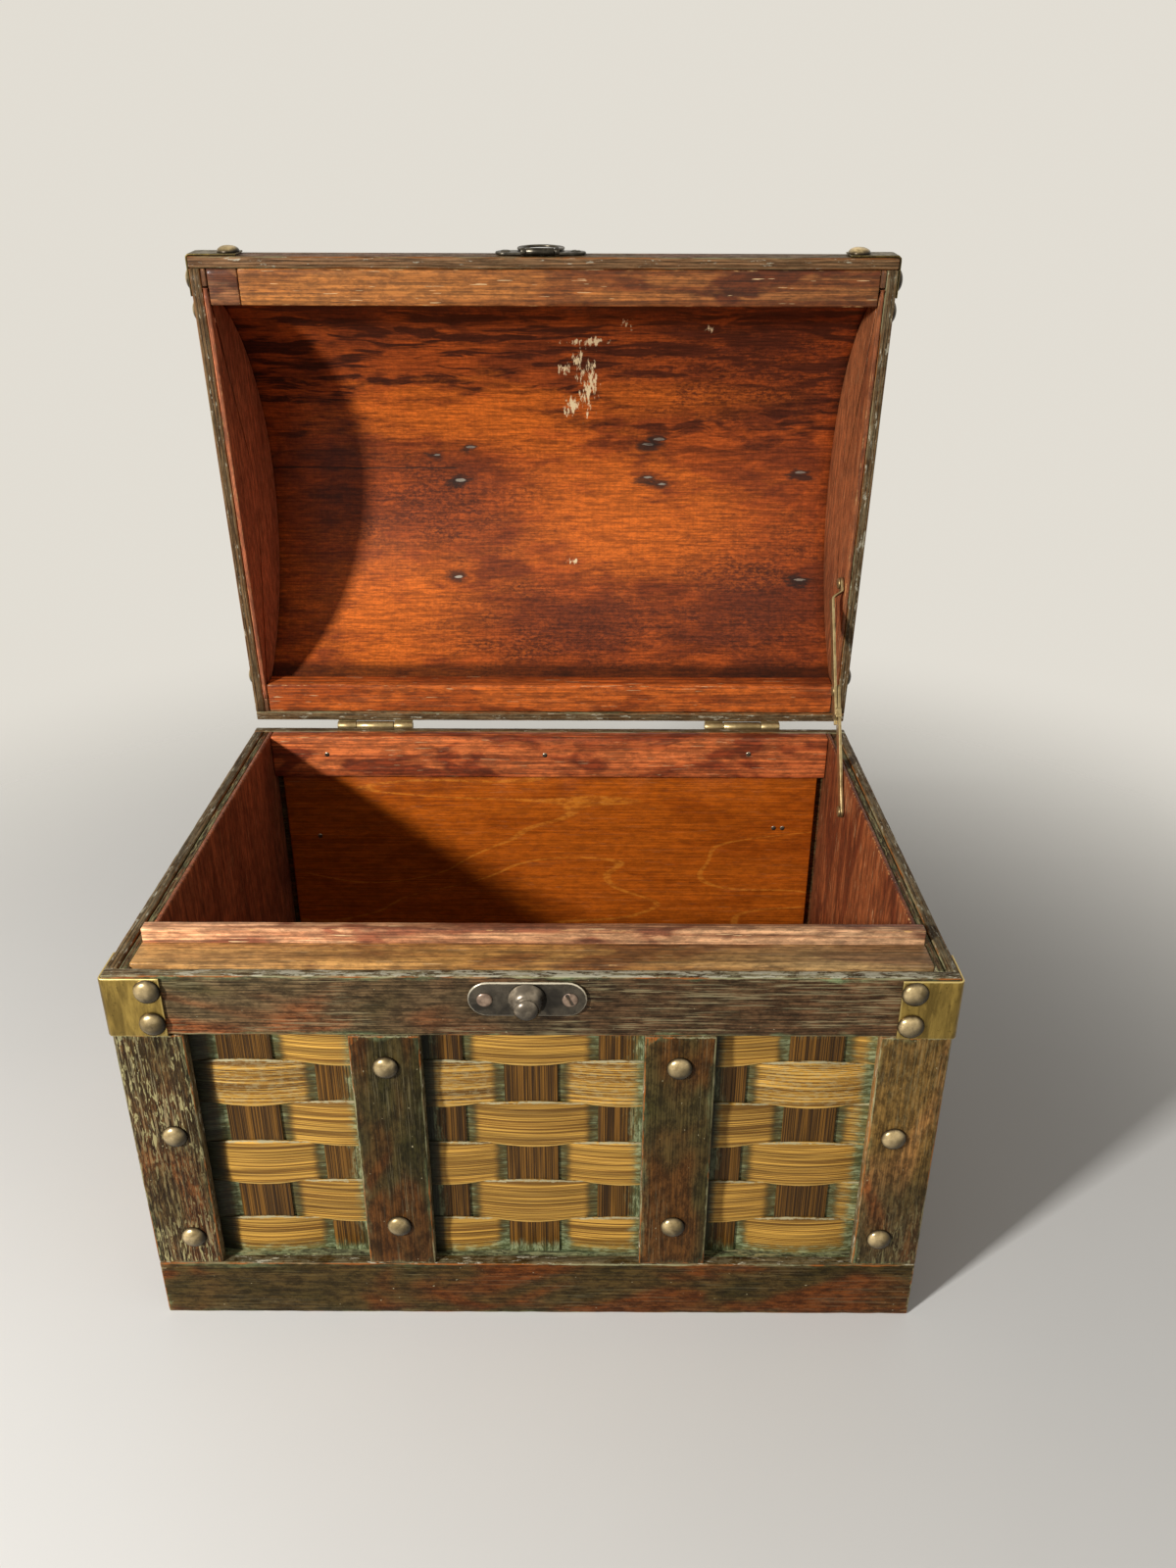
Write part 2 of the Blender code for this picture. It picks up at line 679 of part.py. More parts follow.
def lid_shell(wood, lining, splint, lid_axis):
    mat_middle, mat_angle, rows, skin_outer, foot = dome_layers()
    skin_inner = skin_outer - skin_thickness
    front = lid_mid + front_face
    back = lid_mid + back_face
    edge = width / 2
    rail_top = lid_seam + lid_rail_width
    board(
        "lid_front_rail", (-edge, front, lid_seam), (edge, front + strip_thickness, rail_top), wood, lid_axis
    )
    board("lid_rear_rail", (-edge, back - strip_thickness, lid_seam), (edge, back, rail_top), wood, lid_axis)

    batten_low = lid_seam + lid_batten_recess
    batten_side = lid_lining_face - fit
    for name, near in (
        ("lid_front_batten", front + frame_back),
        ("lid_rear_batten", back - frame_back - lid_batten_width),
    ):
        far = near + lid_batten_width
        board(name, (-batten_side, near, batten_low), (batten_side, far, foot - fit), lining, lid_axis)

    mesh = arch_mesh("dome_skin", skin_inner, skin_outer, foot, inner_wall * 2)
    new_object("dome_skin", mesh, lining, lid_axis)

    half = depth / 2 - frame_back
    end_feet = [(lid_mid - half, lid_seam), (lid_mid + half, lid_seam)]
    end_points = end_feet + dome_arc(dome_radius, math.asin(half / dome_radius))
    lining_radius = skin_inner * math.cos(step_half_angle) - fit
    lining_points = dome_arc(lining_radius, math.acos((lid_seam - dome_middle) / lining_radius))
    for side, hand in ((-1, "left"), (1, "right")):
        mesh = standing_mesh(f"lid_end_{hand}", end_points, strip_thickness)
        place = (side * (edge - strip_thickness / 2), 0, 0)
        end = new_object(f"lid_end_{hand}", mesh, wood, lid_axis, place)
        nail_level = lid_seam + lid_nail_rise
        drive_nails(
            end,
            [
                ((side * edge, front + lid_nail_inset, nail_level), (side, 0, 0)),
                ((side * edge, back - lid_nail_inset, nail_level), (side, 0, 0)),
            ],
        )
        mesh = standing_mesh(f"lid_lining_{hand}", lining_points, lining_thickness)
        place = (side * (lid_lining_face + lining_thickness / 2), 0, 0)
        new_object(f"lid_lining_{hand}", mesh, lining, lid_axis, place)

    dome_bands(wood, lid_axis, rail_top + fit)

    arc_length = 2 * mat_angle * mat_middle
    pitch = arc_length / rows
    reach = inner_wall - fit
    mesh = woven_mesh("dome_weave", -reach, reach, 0, rows, pitch, touch_level, cut_uprights=True)
    for vert in mesh.vertices:
        turn = vert.co.z / mat_middle - mat_angle
        radius = mat_middle - vert.co.y
        vert.co.y = lid_mid + radius * math.sin(turn)
        vert.co.z = dome_middle + radius * math.cos(turn)
    new_object("dome_weave", mesh, splint, lid_axis)


def dome_bands(wood, lid_axis, foot):
    inner = dome_radius - band_thickness
    spread = math.acos((foot - dome_middle) / inner)
    face = dome_radius * math.cos(spread / dome_steps)
    nail_turn = spread - band_nail_inset / dome_radius
    centre = centre_opening / 2 + mid_stile_width / 2
    edge_width = stile_width - frame_back
    edge_middle = inner_wall - edge_width / 2
    places = (
        ("dome_band_left", -edge_middle, edge_width),
        ("dome_band_mid_left", -centre, mid_stile_width),
        ("dome_band_mid_right", centre, mid_stile_width),
        ("dome_band_right", edge_middle, edge_width),
    )
    for name, middle_x, across in places:
        mesh = arch_mesh(name, inner, dome_radius, foot, across)
        band = new_object(name, mesh, wood, lid_axis, (middle_x, 0, 0))
        nails = []
        for turn in (-nail_turn, nail_turn):
            facing = (0, math.sin(turn), math.cos(turn))
            point = (middle_x, lid_mid + face * facing[1], dome_middle + face * facing[2])
            nails.append((point, facing))
        drive_nails(band, nails)


def lid_hardware(brass, bronze, lid_axis):
    front = lid_mid + front_face
    nail_level = lid_seam + lid_nail_rise
    for side, hand in ((-1, "left"), (1, "right")):
        name = f"lid_corner_plate_{hand}"
        low = lid_seam + plate_drop
        corner_plate(name, side, low, lid_plate_height, (nail_level,), brass, lid_axis, front)

    axis_y = front - fit - clasp_thickness - fit - hasp_thickness / 2
    axis_z = lid_seam + fit + hasp_barrel_radius + fit
    plate_low = axis_z + hasp_barrel_radius + fit
    plate_y = front - fit - clasp_thickness / 2
    round_end = catch_height / 2
    half = catch_length / 2 - round_end
    mesh = outline_mesh("catch_plate", stadium(-half, half, round_end), clasp_thickness)
    place = (clasp_middle, plate_y, plate_low + round_end)
    plate = new_object("catch_plate", mesh, bronze, lid_axis, place)
    plate.rotation_euler = (math.pi / 2, 0, 0)
    add_screw_heads(plate, place, clasp_thickness, lid_axis)

    knuckles = new_object("catch_knuckles", hasp_knuckles(), None, lid_axis, (clasp_middle, axis_y, axis_z))
    necks = new_object(
        "catch_necks", catch_necks(plate_y - axis_y), None, lid_axis, (clasp_middle, axis_y, axis_z)
    )
    bm = bmesh.new()
    span = hasp_barrel_length / 2 + fit + hasp_knuckle_length
    add_rod(bm, -span - overrun, span + overrun, hasp_bore_radius)
    drill = new_object(
        "catch_bore", mesh_from(bm, "catch_bore"), None, lid_axis, (clasp_middle, axis_y, axis_z)
    )
    add_boolean(plate, necks, "UNION")
    add_boolean(plate, knuckles, "UNION")
    add_boolean(plate, drill, "DIFFERENCE")
    bm = bmesh.new()
    add_rod(bm, -span, span, hasp_pin_radius)
    new_object("hasp_pin", mesh_from(bm, "hasp_pin"), bronze, lid_axis, (clasp_middle, axis_y, axis_z))
    hasp_axis = new_axis("hasp_axis", (clasp_middle, axis_y, axis_z), 0, lid_axis)
    hasp(bronze, hasp_axis, axis_z + clasp_drop)


def hasp_knuckles():
    bm = bmesh.new()
    start = hasp_barrel_length / 2 + fit
    for side in (-1, 1):
        ends = sorted((side * start, side * (start + hasp_knuckle_length)))
        add_rod(bm, ends[0], ends[1], hasp_barrel_radius)
    return mesh_from(bm, "catch_knuckles")


# The two strips of plate that run down to the outer knuckles of the catch.
def catch_necks(middle_y):
    bm = bmesh.new()
    start = hasp_barrel_length / 2 + fit
    half = clasp_thickness / 2 - neck_inset
    high = hasp_barrel_radius + neck_bury
    for side in (-1, 1):
        ends = sorted((side * (start + neck_inset), side * (start + hasp_knuckle_length - neck_inset)))
        add_box(bm, (ends[0], middle_y - half, 0), (ends[1], middle_y + half, high))
    return mesh_from(bm, "catch_necks")


# The hasp stands up when it is folded back. Its ring drops over the clasp's boss.
def hasp(bronze, axis, ring_middle):
    hole_radius = boss_radius + hasp_hole_margin
    ring_radius = hole_radius + hasp_ring_width
    neck = hasp_neck_width / 2
    opening = math.asin(neck / ring_radius)
    ring = arc(0, ring_middle, ring_radius, opening - math.pi / 2, 3 * math.pi / 2 - opening, ring_sides)
    points = [(-neck, 0), (neck, 0), *ring]
    mesh = outline_mesh("hasp", points, hasp_thickness)
    mesh.transform(Matrix.Rotation(math.pi / 2, 4, "X"))
    item = new_object("hasp", mesh, bronze, axis)

    bm = bmesh.new()
    add_rod(bm, -hasp_barrel_length / 2, hasp_barrel_length / 2, hasp_barrel_radius)
    barrel = new_object("hasp_barrel", mesh_from(bm, "hasp_barrel"), None, axis)
    bm = bmesh.new()
    add_rod(bm, -hasp_barrel_length, hasp_barrel_length, hasp_bore_radius)
    drill = new_object("hasp_bore", mesh_from(bm, "hasp_bore"), None, axis)
    bm = bmesh.new()
    matrix = Matrix.Translation((0, 0, ring_middle)) @ Matrix.Rotation(math.pi / 2, 4, "X")
    add_cylinder(bm, hole_radius, overrun * 2, matrix, ring_sides)
    hole = new_object("hasp_hole", mesh_from(bm, "hasp_hole"), None, axis)
    add_boolean(item, hole, "DIFFERENCE")
    add_boolean(item, barrel, "UNION")
    add_boolean(item, drill, "DIFFERENCE")


def drill_across(item, owner, places):
    bm = bmesh.new()
    for x, y in places:
        add_rod(bm, x - overrun, x + overrun, stay_bore_radius, y=y)
    drill = new_object(item.name + "_bores", mesh_from(bm, item.name + "_bores"), None, owner)
    add_boolean(item, drill, "DIFFERENCE")


# Pivot screw along X, its head towards the middle of the chest.
def pivot_screw(name, brass, owner, place, arm_x, wall_x):
    shank = wall_x - arm_x + stay_arm_thickness / 2 + fit
    head = stay_pin_head_height
    profile = (
        (0, head),
        (stay_pin_top_radius, head),
        (stay_pin_head_radius, stay_pin_head_rim),
        (stay_pin_head_radius, 0),
        (stay_pin_radius, 0),
        (stay_pin_radius, -shank),
        (0, -shank),
    )
    start = (arm_x - stay_arm_thickness / 2 - fit, *place)
    turned(name, profile, brass, owner, start, (0, -math.pi / 2, 0))


def lid_stay(brass, lid_axis):
    foot_y = back_face - stay_foot_from_back
    foot_z = height - stay_foot_drop
    head_y = -stay_head_from_axis
    head_z = stay_head_depth
    turned_head = Matrix.Rotation(-open_angle, 2) @ Vector((head_y, head_z))
    span = Vector((hinge_y + turned_head[0] - foot_y, height + turned_head[1] - foot_z))
    lean = math.atan2(span[1], span[0])
    upper_length = span.length - stay_lower_length

    lower_x = lining_face - stay_wall_gap - stay_arm_thickness / 2
    upper_x = lower_x - stay_arm_thickness - fit
    head_x = lid_lining_face - stay_wall_gap - stay_arm_thickness / 2
    half = stay_arm_width / 2

    lower_axis = new_axis("stay_lower_axis", (0, foot_y, foot_z), lean)
    mesh = standing_mesh("stay_lower_arm", stadium(0, stay_lower_length, half), stay_arm_thickness)
    lower = new_object("stay_lower_arm", mesh, brass, lower_axis, (lower_x, 0, 0))
    drill_across(lower, lower_axis, ((lower_x, 0), (lower_x, stay_lower_length)))
    pivot_screw("stay_body_pivot", brass, None, (foot_y, foot_z), lower_x, lining_face - fit)

    upper_turn = lean + math.pi + open_angle
    upper_axis = new_axis("stay_upper_axis", (0, head_y, head_z), upper_turn, lid_axis)
    upper = joggled_arm(brass, upper_axis, upper_x, head_x, upper_length)
    drill_across(upper, upper_axis, ((head_x, 0),))
    pivot_screw("stay_lid_pivot", brass, lid_axis, (head_y, head_z), head_x, lid_lining_face - fit)


# The upper arm steps sideways just past its pivot, and ends in a stop lug.
def joggled_arm(brass, axis, upper_x, head_x, upper_length):
    half = stay_arm_width / 2
    thick = stay_arm_thickness / 2
    tail = upper_length + stay_tail_length
    near = -half - overrun
    far = tail + half + overrun
    bend = stay_joggle_start
    end = stay_joggle_start + stay_joggle_run
    points = (
        (head_x - thick, near),
        (head_x - thick, bend),
        (upper_x - thick, end),
        (upper_x - thick, far),
        (upper_x + thick, far),
        (upper_x + thick, end + thick),
        (head_x + thick, bend + thick),
        (head_x + thick, near),
    )
    mesh = outline_mesh("stay_upper_arm", points, stay_arm_width + overrun)
    arm = new_object("stay_upper_arm", mesh, brass, axis)
    across = head_x - upper_x + stay_arm_thickness + overrun * 2
    mask_mesh = standing_mesh("stay_upper_mask", stadium(0, tail, half), across)
    mask = new_object("stay_upper_mask", mask_mesh, None, axis, ((head_x + upper_x) / 2, 0, 0))
    add_boolean(arm, mask, "INTERSECT")

    bm = bmesh.new()
    lug_top = -half - fit
    corner = (upper_x - thick / 2, tail - stay_lug_length, lug_top - stay_lug_thickness)
    add_box(bm, corner, (upper_x + thick + fit + stay_arm_thickness, tail, lug_top))
    add_box(bm, corner, (upper_x + thick / 2, tail, 0))
    lug = new_object("stay_lug", mesh_from(bm, "stay_lug"), None, axis)
    union = add_boolean(arm, lug, "UNION")
    union.use_self = True

    bm = bmesh.new()
    matrix = Matrix.Translation((upper_x - thick, upper_length, 0)) @ Matrix.Rotation(-math.pi / 2, 4, "Y")
    add_cylinder(bm, stay_pin_head_radius, stay_pin_head_height * 2, matrix, rod_sides, stay_pin_radius)
    rivet = new_object("stay_rivet", mesh_from(bm, "stay_rivet"), None, axis)
    add_boolean(arm, rivet, "UNION")
    return arm


def build():
    global parts, guides
    start_scene()
    parts = new_collection("decorative_storage_chest")
    guides = new_collection("guides")
    wood = new_material("dark stained ply", (0.060, 0.035, 0.020), 0.45, 0)
    lining = new_material("varnished brown ply", (0.300, 0.095, 0.025), 0.35, 0)
    splint = new_material("golden splint", (0.480, 0.270, 0.070), 0.5, 0)
    brass = new_material("aged brass", (0.330, 0.270, 0.130), 0.35, 1)
    bronze = new_material("dark bronze", (0.110, 0.090, 0.065), 0.4, 1)
    lid_axis = new_axis("lid_axis", (0, hinge_y, height), -open_angle)
    body_boards(wood, lining)
    body_frames(wood)
    body_mats(splint)
    body_hardware(brass, bronze)
    hinges(brass, lid_axis)
    lid_shell(wood, lining, splint, lid_axis)
    lid_hardware(brass, bronze, lid_axis)
    lid_stay(brass, lid_axis)


build()
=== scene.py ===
import json
from math import acos, asin, cos, pi, radians, sin

import bmesh
import bpy
import numpy as np
from mathutils import Matrix, Vector


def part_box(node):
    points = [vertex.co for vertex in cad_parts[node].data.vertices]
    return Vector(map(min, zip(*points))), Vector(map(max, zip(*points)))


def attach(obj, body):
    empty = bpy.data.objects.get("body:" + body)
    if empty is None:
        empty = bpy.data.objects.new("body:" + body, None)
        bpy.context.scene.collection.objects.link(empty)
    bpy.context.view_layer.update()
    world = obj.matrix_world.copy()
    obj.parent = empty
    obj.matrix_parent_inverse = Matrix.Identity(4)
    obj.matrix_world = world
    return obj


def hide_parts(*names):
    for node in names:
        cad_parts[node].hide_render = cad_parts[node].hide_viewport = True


# Looks of a small trunk-shaped chest that stands open: dark ply frames over plaited
# splints, brown varnished boards inside, brass nails and plates, a bronze clasp.
# Lengths are in metres. Marks that a material reads along a piece are in millimetres.

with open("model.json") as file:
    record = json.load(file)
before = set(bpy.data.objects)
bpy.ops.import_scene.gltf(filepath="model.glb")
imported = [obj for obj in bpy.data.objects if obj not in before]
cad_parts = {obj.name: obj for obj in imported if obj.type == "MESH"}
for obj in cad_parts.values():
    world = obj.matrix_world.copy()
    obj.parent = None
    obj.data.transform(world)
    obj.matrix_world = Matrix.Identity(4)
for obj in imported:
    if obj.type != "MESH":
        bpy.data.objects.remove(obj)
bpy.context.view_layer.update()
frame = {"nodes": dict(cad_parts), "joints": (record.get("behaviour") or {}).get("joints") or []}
mm = 0.001
print("frame loaded:", len(frame["nodes"]), "nodes")

# The lid is shaped as if it were shut, and then swung open about its hinge.
joints = {joint["name"]: joint for joint in frame["joints"]}
hingeAxis = hingeY, hingeZ = joints["lid_hinge"]["pos_m"][1:]
openAngle = radians(joints["lid_hinge"]["range_deg"][1])


def swing(points, angle):
    # Turns points about the hinge: y and z mix by the angle's cosine and sine.
    turned = np.array(points, dtype=float)
    y, z = turned[..., 1] - hingeY, turned[..., 2] - hingeZ
    turned[..., 1] = hingeY + y * cos(angle) - z * sin(angle)
    turned[..., 2] = hingeZ + y * sin(angle) + z * cos(angle)
    return turned


def nodePoints(name, shut=False):
    mesh = frame["nodes"][name].data
    points = np.empty(len(mesh.vertices) * 3)
    mesh.vertices.foreach_get("co", points)
    points = points.reshape(-1, 3)
    return swing(points, openAngle) if shut else points


def nodeBox(name, shut=False):
    points = nodePoints(name, shut)
    return points.min(axis=0), points.max(axis=0)


def eased(values, low, high):
    share = np.clip((values - low) / (high - low), 0, 1)
    return share * share * (3 - 2 * share)


def unevenness(values, seed):
    # Values from a seeded table, eased from each to the next.
    table = np.random.default_rng(seed).uniform(-1, 1, 257)
    whole = np.floor(values).astype(int)
    part = eased(values - whole, 0, 1)
    return table[whole % 257] * (1 - part) + table[(whole + 1) % 257] * part


def patchiness(u, v, seed):
    # The same on a plane: four table values round each point, blended both ways.
    table = np.random.default_rng(seed).uniform(-1, 1, (67, 67))
    row, column = np.floor(u).astype(int), np.floor(v).astype(int)
    partU, partV = eased(u - row, 0, 1), eased(v - column, 0, 1)
    near, far = (
        table[row % 67, beside % 67] * (1 - partU) + table[(row + 1) % 67, beside % 67] * partU
        for beside in (column, column + 1)
    )
    return near * (1 - partV) + far * partV


def gridFaces(rows, columns):
    # Four corners for each cell between rings of points, each ring closed on itself.
    first, second = np.meshgrid(np.arange(rows - 1), np.arange(columns), indexing="ij")
    near, beyond = first * columns, (second + 1) % columns
    corners = (near + second, near + columns + second, near + columns + beyond, near + beyond)
    return np.stack(corners, axis=-1).reshape(-1, 4)


# The marks at each point that the materials read: vectors of three, or single values.
markWidths = {"coord": 3, "tone": 3, "look": 3, "edge": 1, "through": 1, "narrow": 1}
plainMarks = {"tone": (0.2, 0.1, 0.05), "look": (0, 0, 0), "narrow": 0}


def makePart(points, faces, slot=0, **marks):
    # One closed shell with its marks.
    points = points.reshape(-1, 3)
    marks = {"coord": points / mm, **plainMarks, **marks}
    part = {"points": points, "faces": faces, "slot": slot}
    for key, width in markWidths.items():
        values = np.asarray(marks[key], dtype=float).reshape(-1, width)
        part[key] = np.broadcast_to(values, (len(points), width))
    return part


def addObject(name, data):
    made = bpy.data.objects.new(name, data)
    bpy.context.scene.collection.objects.link(made)
    return made


def buildPiece(node, parts, paints, body, onLid=False):
    # One piece in the place of one node. A piece of the lid is swung open here.
    first, *rest = node.split("_")
    name = first + "".join(word.capitalize() for word in rest)
    joined = {key: np.concatenate([part[key] for part in parts]) for key in ("points", *markWidths)}
    points = swing(joined["points"], -openAngle) if onLid else joined["points"]
    starts = np.cumsum([0] + [len(part["points"]) for part in parts])
    faces = np.concatenate([part["faces"] + start for part, start in zip(parts, starts)])
    mesh = bpy.data.meshes.new(name)
    mesh.from_pydata(points.tolist(), [], faces.tolist())
    slots = np.concatenate([np.full(len(part["faces"]), part["slot"]) for part in parts])
    mesh.polygons.foreach_set("material_index", slots.astype(np.int32))
    for key, width in markWidths.items():
        kind, field = ("FLOAT_VECTOR", "vector") if width == 3 else ("FLOAT", "value")
        values = joined[key].astype(np.float32).ravel()
        mesh.attributes.new(key, kind, "POINT").data.foreach_set(field, values)
    shell = bmesh.new()
    shell.from_mesh(mesh)
    bmesh.ops.remove_doubles(shell, verts=shell.verts, dist=2e-7)
    bmesh.ops.recalc_face_normals(shell, faces=shell.faces)
    shell.to_mesh(mesh)
    shell.free()
    mesh.shade_smooth()
    for paint in paints:
        mesh.materials.append(paint)
    piece = addObject(name, mesh)
    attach(piece, body)
    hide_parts(node)


quadrants = np.array([(1, 1), (-1, 1), (-1, -1), (1, -1)])


def drawnIn(radius, shares, steps, between):
    # Rings that widen from a point by shares, roll over a quarter circle, stay full in
    # between, and close in the same way. Returns the inset and the share of each, and
    # how far the first ones have risen.
    turn = np.linspace(pi / 2, 0, steps)
    flat = 0 * np.array(shares)
    inset = np.concatenate((flat + radius, radius * (1 - np.cos(turn))))
    share = np.concatenate((shares, 0 * turn + 1))
    rise = np.concatenate((flat, radius * (1 - np.sin(turn))))
    inset = np.concatenate((inset, 0 * between, inset[::-1]))[:, None]
    share = np.concatenate((share, 0 * between + 1, share[::-1]))[:, None]
    return inset, share, rise


def sweptStrip(
    path, thinWay, wideWay, wide, thin, radius=0.7 * mm, spacing=4 * mm, wideSteps=5, thinSteps=2, cornerSteps=4,
    wear=0.35 * mm, wearLength=6 * mm, warp=0, bow=0, widthAt=None, grainAcross=False, seed=1, offset=None,
    tone=(0.2, 0.1, 0.05), look=(0.4, 0.2, 0.2), slot=0,
):
    # A rounded rectangle carried along a path. A point is the path's point, plus the
    # wide way times its place across, plus the thin way times its place through. At
    # both ends the rectangle draws in, and then shrinks to a point.
    radius = min(radius, wide / 2.2, thin / 2.2)
    path = np.asarray(path, dtype=float)
    reach = np.concatenate(([0], np.cumsum(np.linalg.norm(np.diff(path, axis=0), axis=1))))
    length = reach[-1]

    between = np.linspace(radius, length - radius, max(3, int(length / spacing)) + 1)[1:-1]
    inset, share, rise = drawnIn(radius, (0, 0.5), cornerSteps, between)
    place = np.concatenate((rise, between, length - rise[::-1]))

    def carried(values):
        columns = np.broadcast_to(values, path.shape).T
        return np.stack([np.interp(place, reach, column) for column in columns], axis=1)[:, None]

    corners = quadrants * (wide / 2 - radius, thin / 2 - radius)
    bases, ways = [], []
    for number, corner in enumerate(corners):
        turns = np.linspace(0, pi / 2, cornerSteps) + number * pi / 2
        arcWays = np.stack((np.cos(turns), np.sin(turns)), axis=1)
        steps = thinSteps if number % 2 else wideSteps
        shares = np.linspace(0, 1, steps + 2)[1:-1, None]
        toNext = corners[(number + 1) % 4] - corner
        bases += [np.repeat(corner[None], len(turns), axis=0), corner + toNext * shares]
        ways += [arcWays, np.repeat(arcWays[-1:], steps, axis=0)]
    base, way = np.concatenate(bases), np.concatenate(ways)

    arris = np.abs(way[:, 0] * way[:, 1]) * 2
    sides = np.sign(base[:, 0]) * 31.7 + np.sign(base[:, 1]) * 57.3
    wobble = 0.5 + 0.5 * unevenness(place[:, None] / wearLength + sides + 100, seed)
    out = radius - inset - wear * wobble**2 * arris * (inset < radius * 0.5)
    across = base[:, 0] * share + way[:, 0] * out
    through = base[:, 1] * share + way[:, 1] * out
    if widthAt is not None:
        across = across * widthAt(place)[:, None]
    lift = -(bow(place)[:, None] if callable(bow) else bow) * (across / (wide / 2)) ** 2
    lift = lift + warp * patchiness(place[:, None] / (60 * mm) + 11 + 0 * across, across / (25 * mm) + 7, seed)
    points = carried(path) + carried(wideWay) * across[..., None] + carried(thinWay) * (through + lift)[..., None]

    toEnd = np.minimum(place, length - place)[:, None] + 0 * across
    toSide, toFace = wide / 2 - np.abs(across), thin / 2 - np.abs(through)
    offset = np.random.default_rng(seed).uniform(0, 900, 3) if offset is None else offset
    lengthways = place[:, None] / mm + 0 * across
    first, second = (across / mm, lengthways) if grainAcross else (lengthways, across / mm)
    return makePart(
        points,
        gridFaces(len(place), len(base)),
        slot,
        coord=np.stack((first + offset[0], second + offset[1], through / mm + offset[2]), axis=-1),
        edge=np.sort(np.stack((toEnd, toSide, toFace)), axis=0)[1] / mm,
        through=through / thin + 0.5,
        narrow=(np.minimum(toEnd, toSide) < toFace) * 1,
        tone=tone(points) if callable(tone) else tone,
        look=look(points) if callable(look) else look,
    )


def graded(axis, *stops):
    # Marks that change evenly along one axis, from each place in millimetres to the next.
    places = [stop[0] * mm for stop in stops]
    columns = np.array([stop[1] for stop in stops]).T

    def marks(points):
        return np.stack([np.interp(points[..., axis], places, column) for column in columns], axis=-1)

    return marks


def board(low, high, grain, through, **changes):
    # A straight strip between two opposite corners of a box.
    low, high = np.asarray(low, dtype=float), np.asarray(high, dtype=float)
    axes = np.eye(3)
    wideAxis = 3 - grain - through
    start, end = (low + high) / 2, (low + high) / 2
    start[grain], end[grain] = low[grain], high[grain]
    path = start + (end - start) * np.linspace(0, 1, 9)[:, None]
    size = high - low
    return sweptStrip(path, axes[through], axes[wideAxis], size[wideAxis], size[through], **changes)


def platePart(outline, thickness, radius, centre, wideWay, tallWay, outWay, seed=1, dent=0, **marks):
    # A flat plate with a convex outline. It draws in to its middle on both faces, and
    # rolls over its edge on a quarter circle. A point is the centre, plus each way
    # times its place along that way.
    ahead = np.roll(outline, -1, axis=0) - np.roll(outline, 1, axis=0)
    ahead /= np.linalg.norm(ahead, axis=1)[:, None]
    outward = np.stack((ahead[:, 1], -ahead[:, 0]), axis=1)
    middle = (outline.min(axis=0) + outline.max(axis=0)) / 2
    if np.sum(outward * (outline - middle)) < 0:
        outward = -outward
    half = thickness / 2
    between = np.linspace(half - radius, radius - half, 5)[1:-1]
    inset, share, rise = drawnIn(radius, (0, 0.3, 0.6, 0.85), 4, between)
    depth = np.concatenate((half - rise, between, rise[::-1] - half))[:, None]
    flat = middle + (outline - middle) * share[..., None] - outward * (inset * (share > 0))[..., None]
    depth = depth + 0 * flat[..., 0]
    u, v = flat[..., 0], flat[..., 1]
    bumps = dent * patchiness(u / (6 * mm) + 3, v / (6 * mm) + 9, seed) * np.sign(depth)
    gap = np.linalg.norm(outline - middle, axis=1) * (1 - share) + inset
    offset = np.random.default_rng(seed).uniform(0, 900, 3)
    points = np.asarray(centre)
    for places, way in ((u, wideWay), (v, tallWay), (depth + bumps, outWay)):
        points = points + places[..., None] * np.asarray(way)
    return makePart(
        points,
        gridFaces(len(share), len(outline)),
        coord=np.stack((u / mm, v / mm, depth / mm), axis=-1) + offset,
        edge=np.maximum(gap, half - np.abs(depth)) / mm,
        through=depth / thickness + 0.5,
        narrow=(gap < half - np.abs(depth)) * 1,
        **marks,
    )


def turnedPart(profile, centre, axis, sides=24, groove=None, dent=0, seed=1, slot=0):
    # A turned piece: each radius and height of the profile goes round the axis in a
    # ring. A groove lowers the points that lie near one line across the top.
    profile = np.asarray(profile, dtype=float)
    axis = np.asarray(axis, dtype=float) / np.linalg.norm(axis)
    aside = np.cross(axis, (0.31, 0.17, 0.94))
    aside /= np.linalg.norm(aside)
    turn = np.linspace(0, 2 * pi, sides, endpoint=False)
    ring = aside * np.cos(turn)[:, None] + np.cross(axis, aside) * np.sin(turn)[:, None]
    radii, levels = profile.T[..., None]
    radius, height = radii + 0 * turn, levels + 0 * turn
    bumps = patchiness(radius * np.cos(turn) / (2 * mm) + 9, radius * np.sin(turn) / (2 * mm) + 9, seed)
    height = height + dent * bumps * (height > levels.min() + 1e-6)
    if groove:
        wide, deep, angle = groove
        near = np.clip(1.6 - np.abs(radius * np.sin(turn - angle)) / wide, 0, 1)
        height = height - deep * near * (levels > levels.max() - 0.3 * mm)
    points = np.asarray(centre) + ring * radius[..., None] + axis * height[..., None]
    through = (height - levels.min()) / np.ptp(levels)
    return makePart(points, gridFaces(len(profile), sides), slot, edge=(radii.max() - radius) / mm, through=through)


def arcPoints(middle, radius, start, end, steps):
    turn = np.linspace(start, end, steps + 1)
    return np.stack((middle[0] + radius * np.cos(turn), middle[1] + radius * np.sin(turn)), axis=1)


def stadium(halfLength, radius):
    right = arcPoints((halfLength - radius, 0), radius, -pi / 2, pi / 2, 12)
    return np.concatenate((right, -right))


def roundedBox(width, height, radius):
    corners = quadrants * (width / 2 - radius, height / 2 - radius)
    arcs = [
        arcPoints(corner, radius, pi / 2 * number, pi / 2 * (number + 1), 5)
        for number, corner in enumerate(corners)
    ]
    return np.concatenate(arcs)


socketNames = {
    "colour": "Base Color", "coat": "Coat Weight", "coatRoughness": "Coat Roughness", "coatNormal": "Coat Normal",
    "specular": "Specular IOR Level",
}


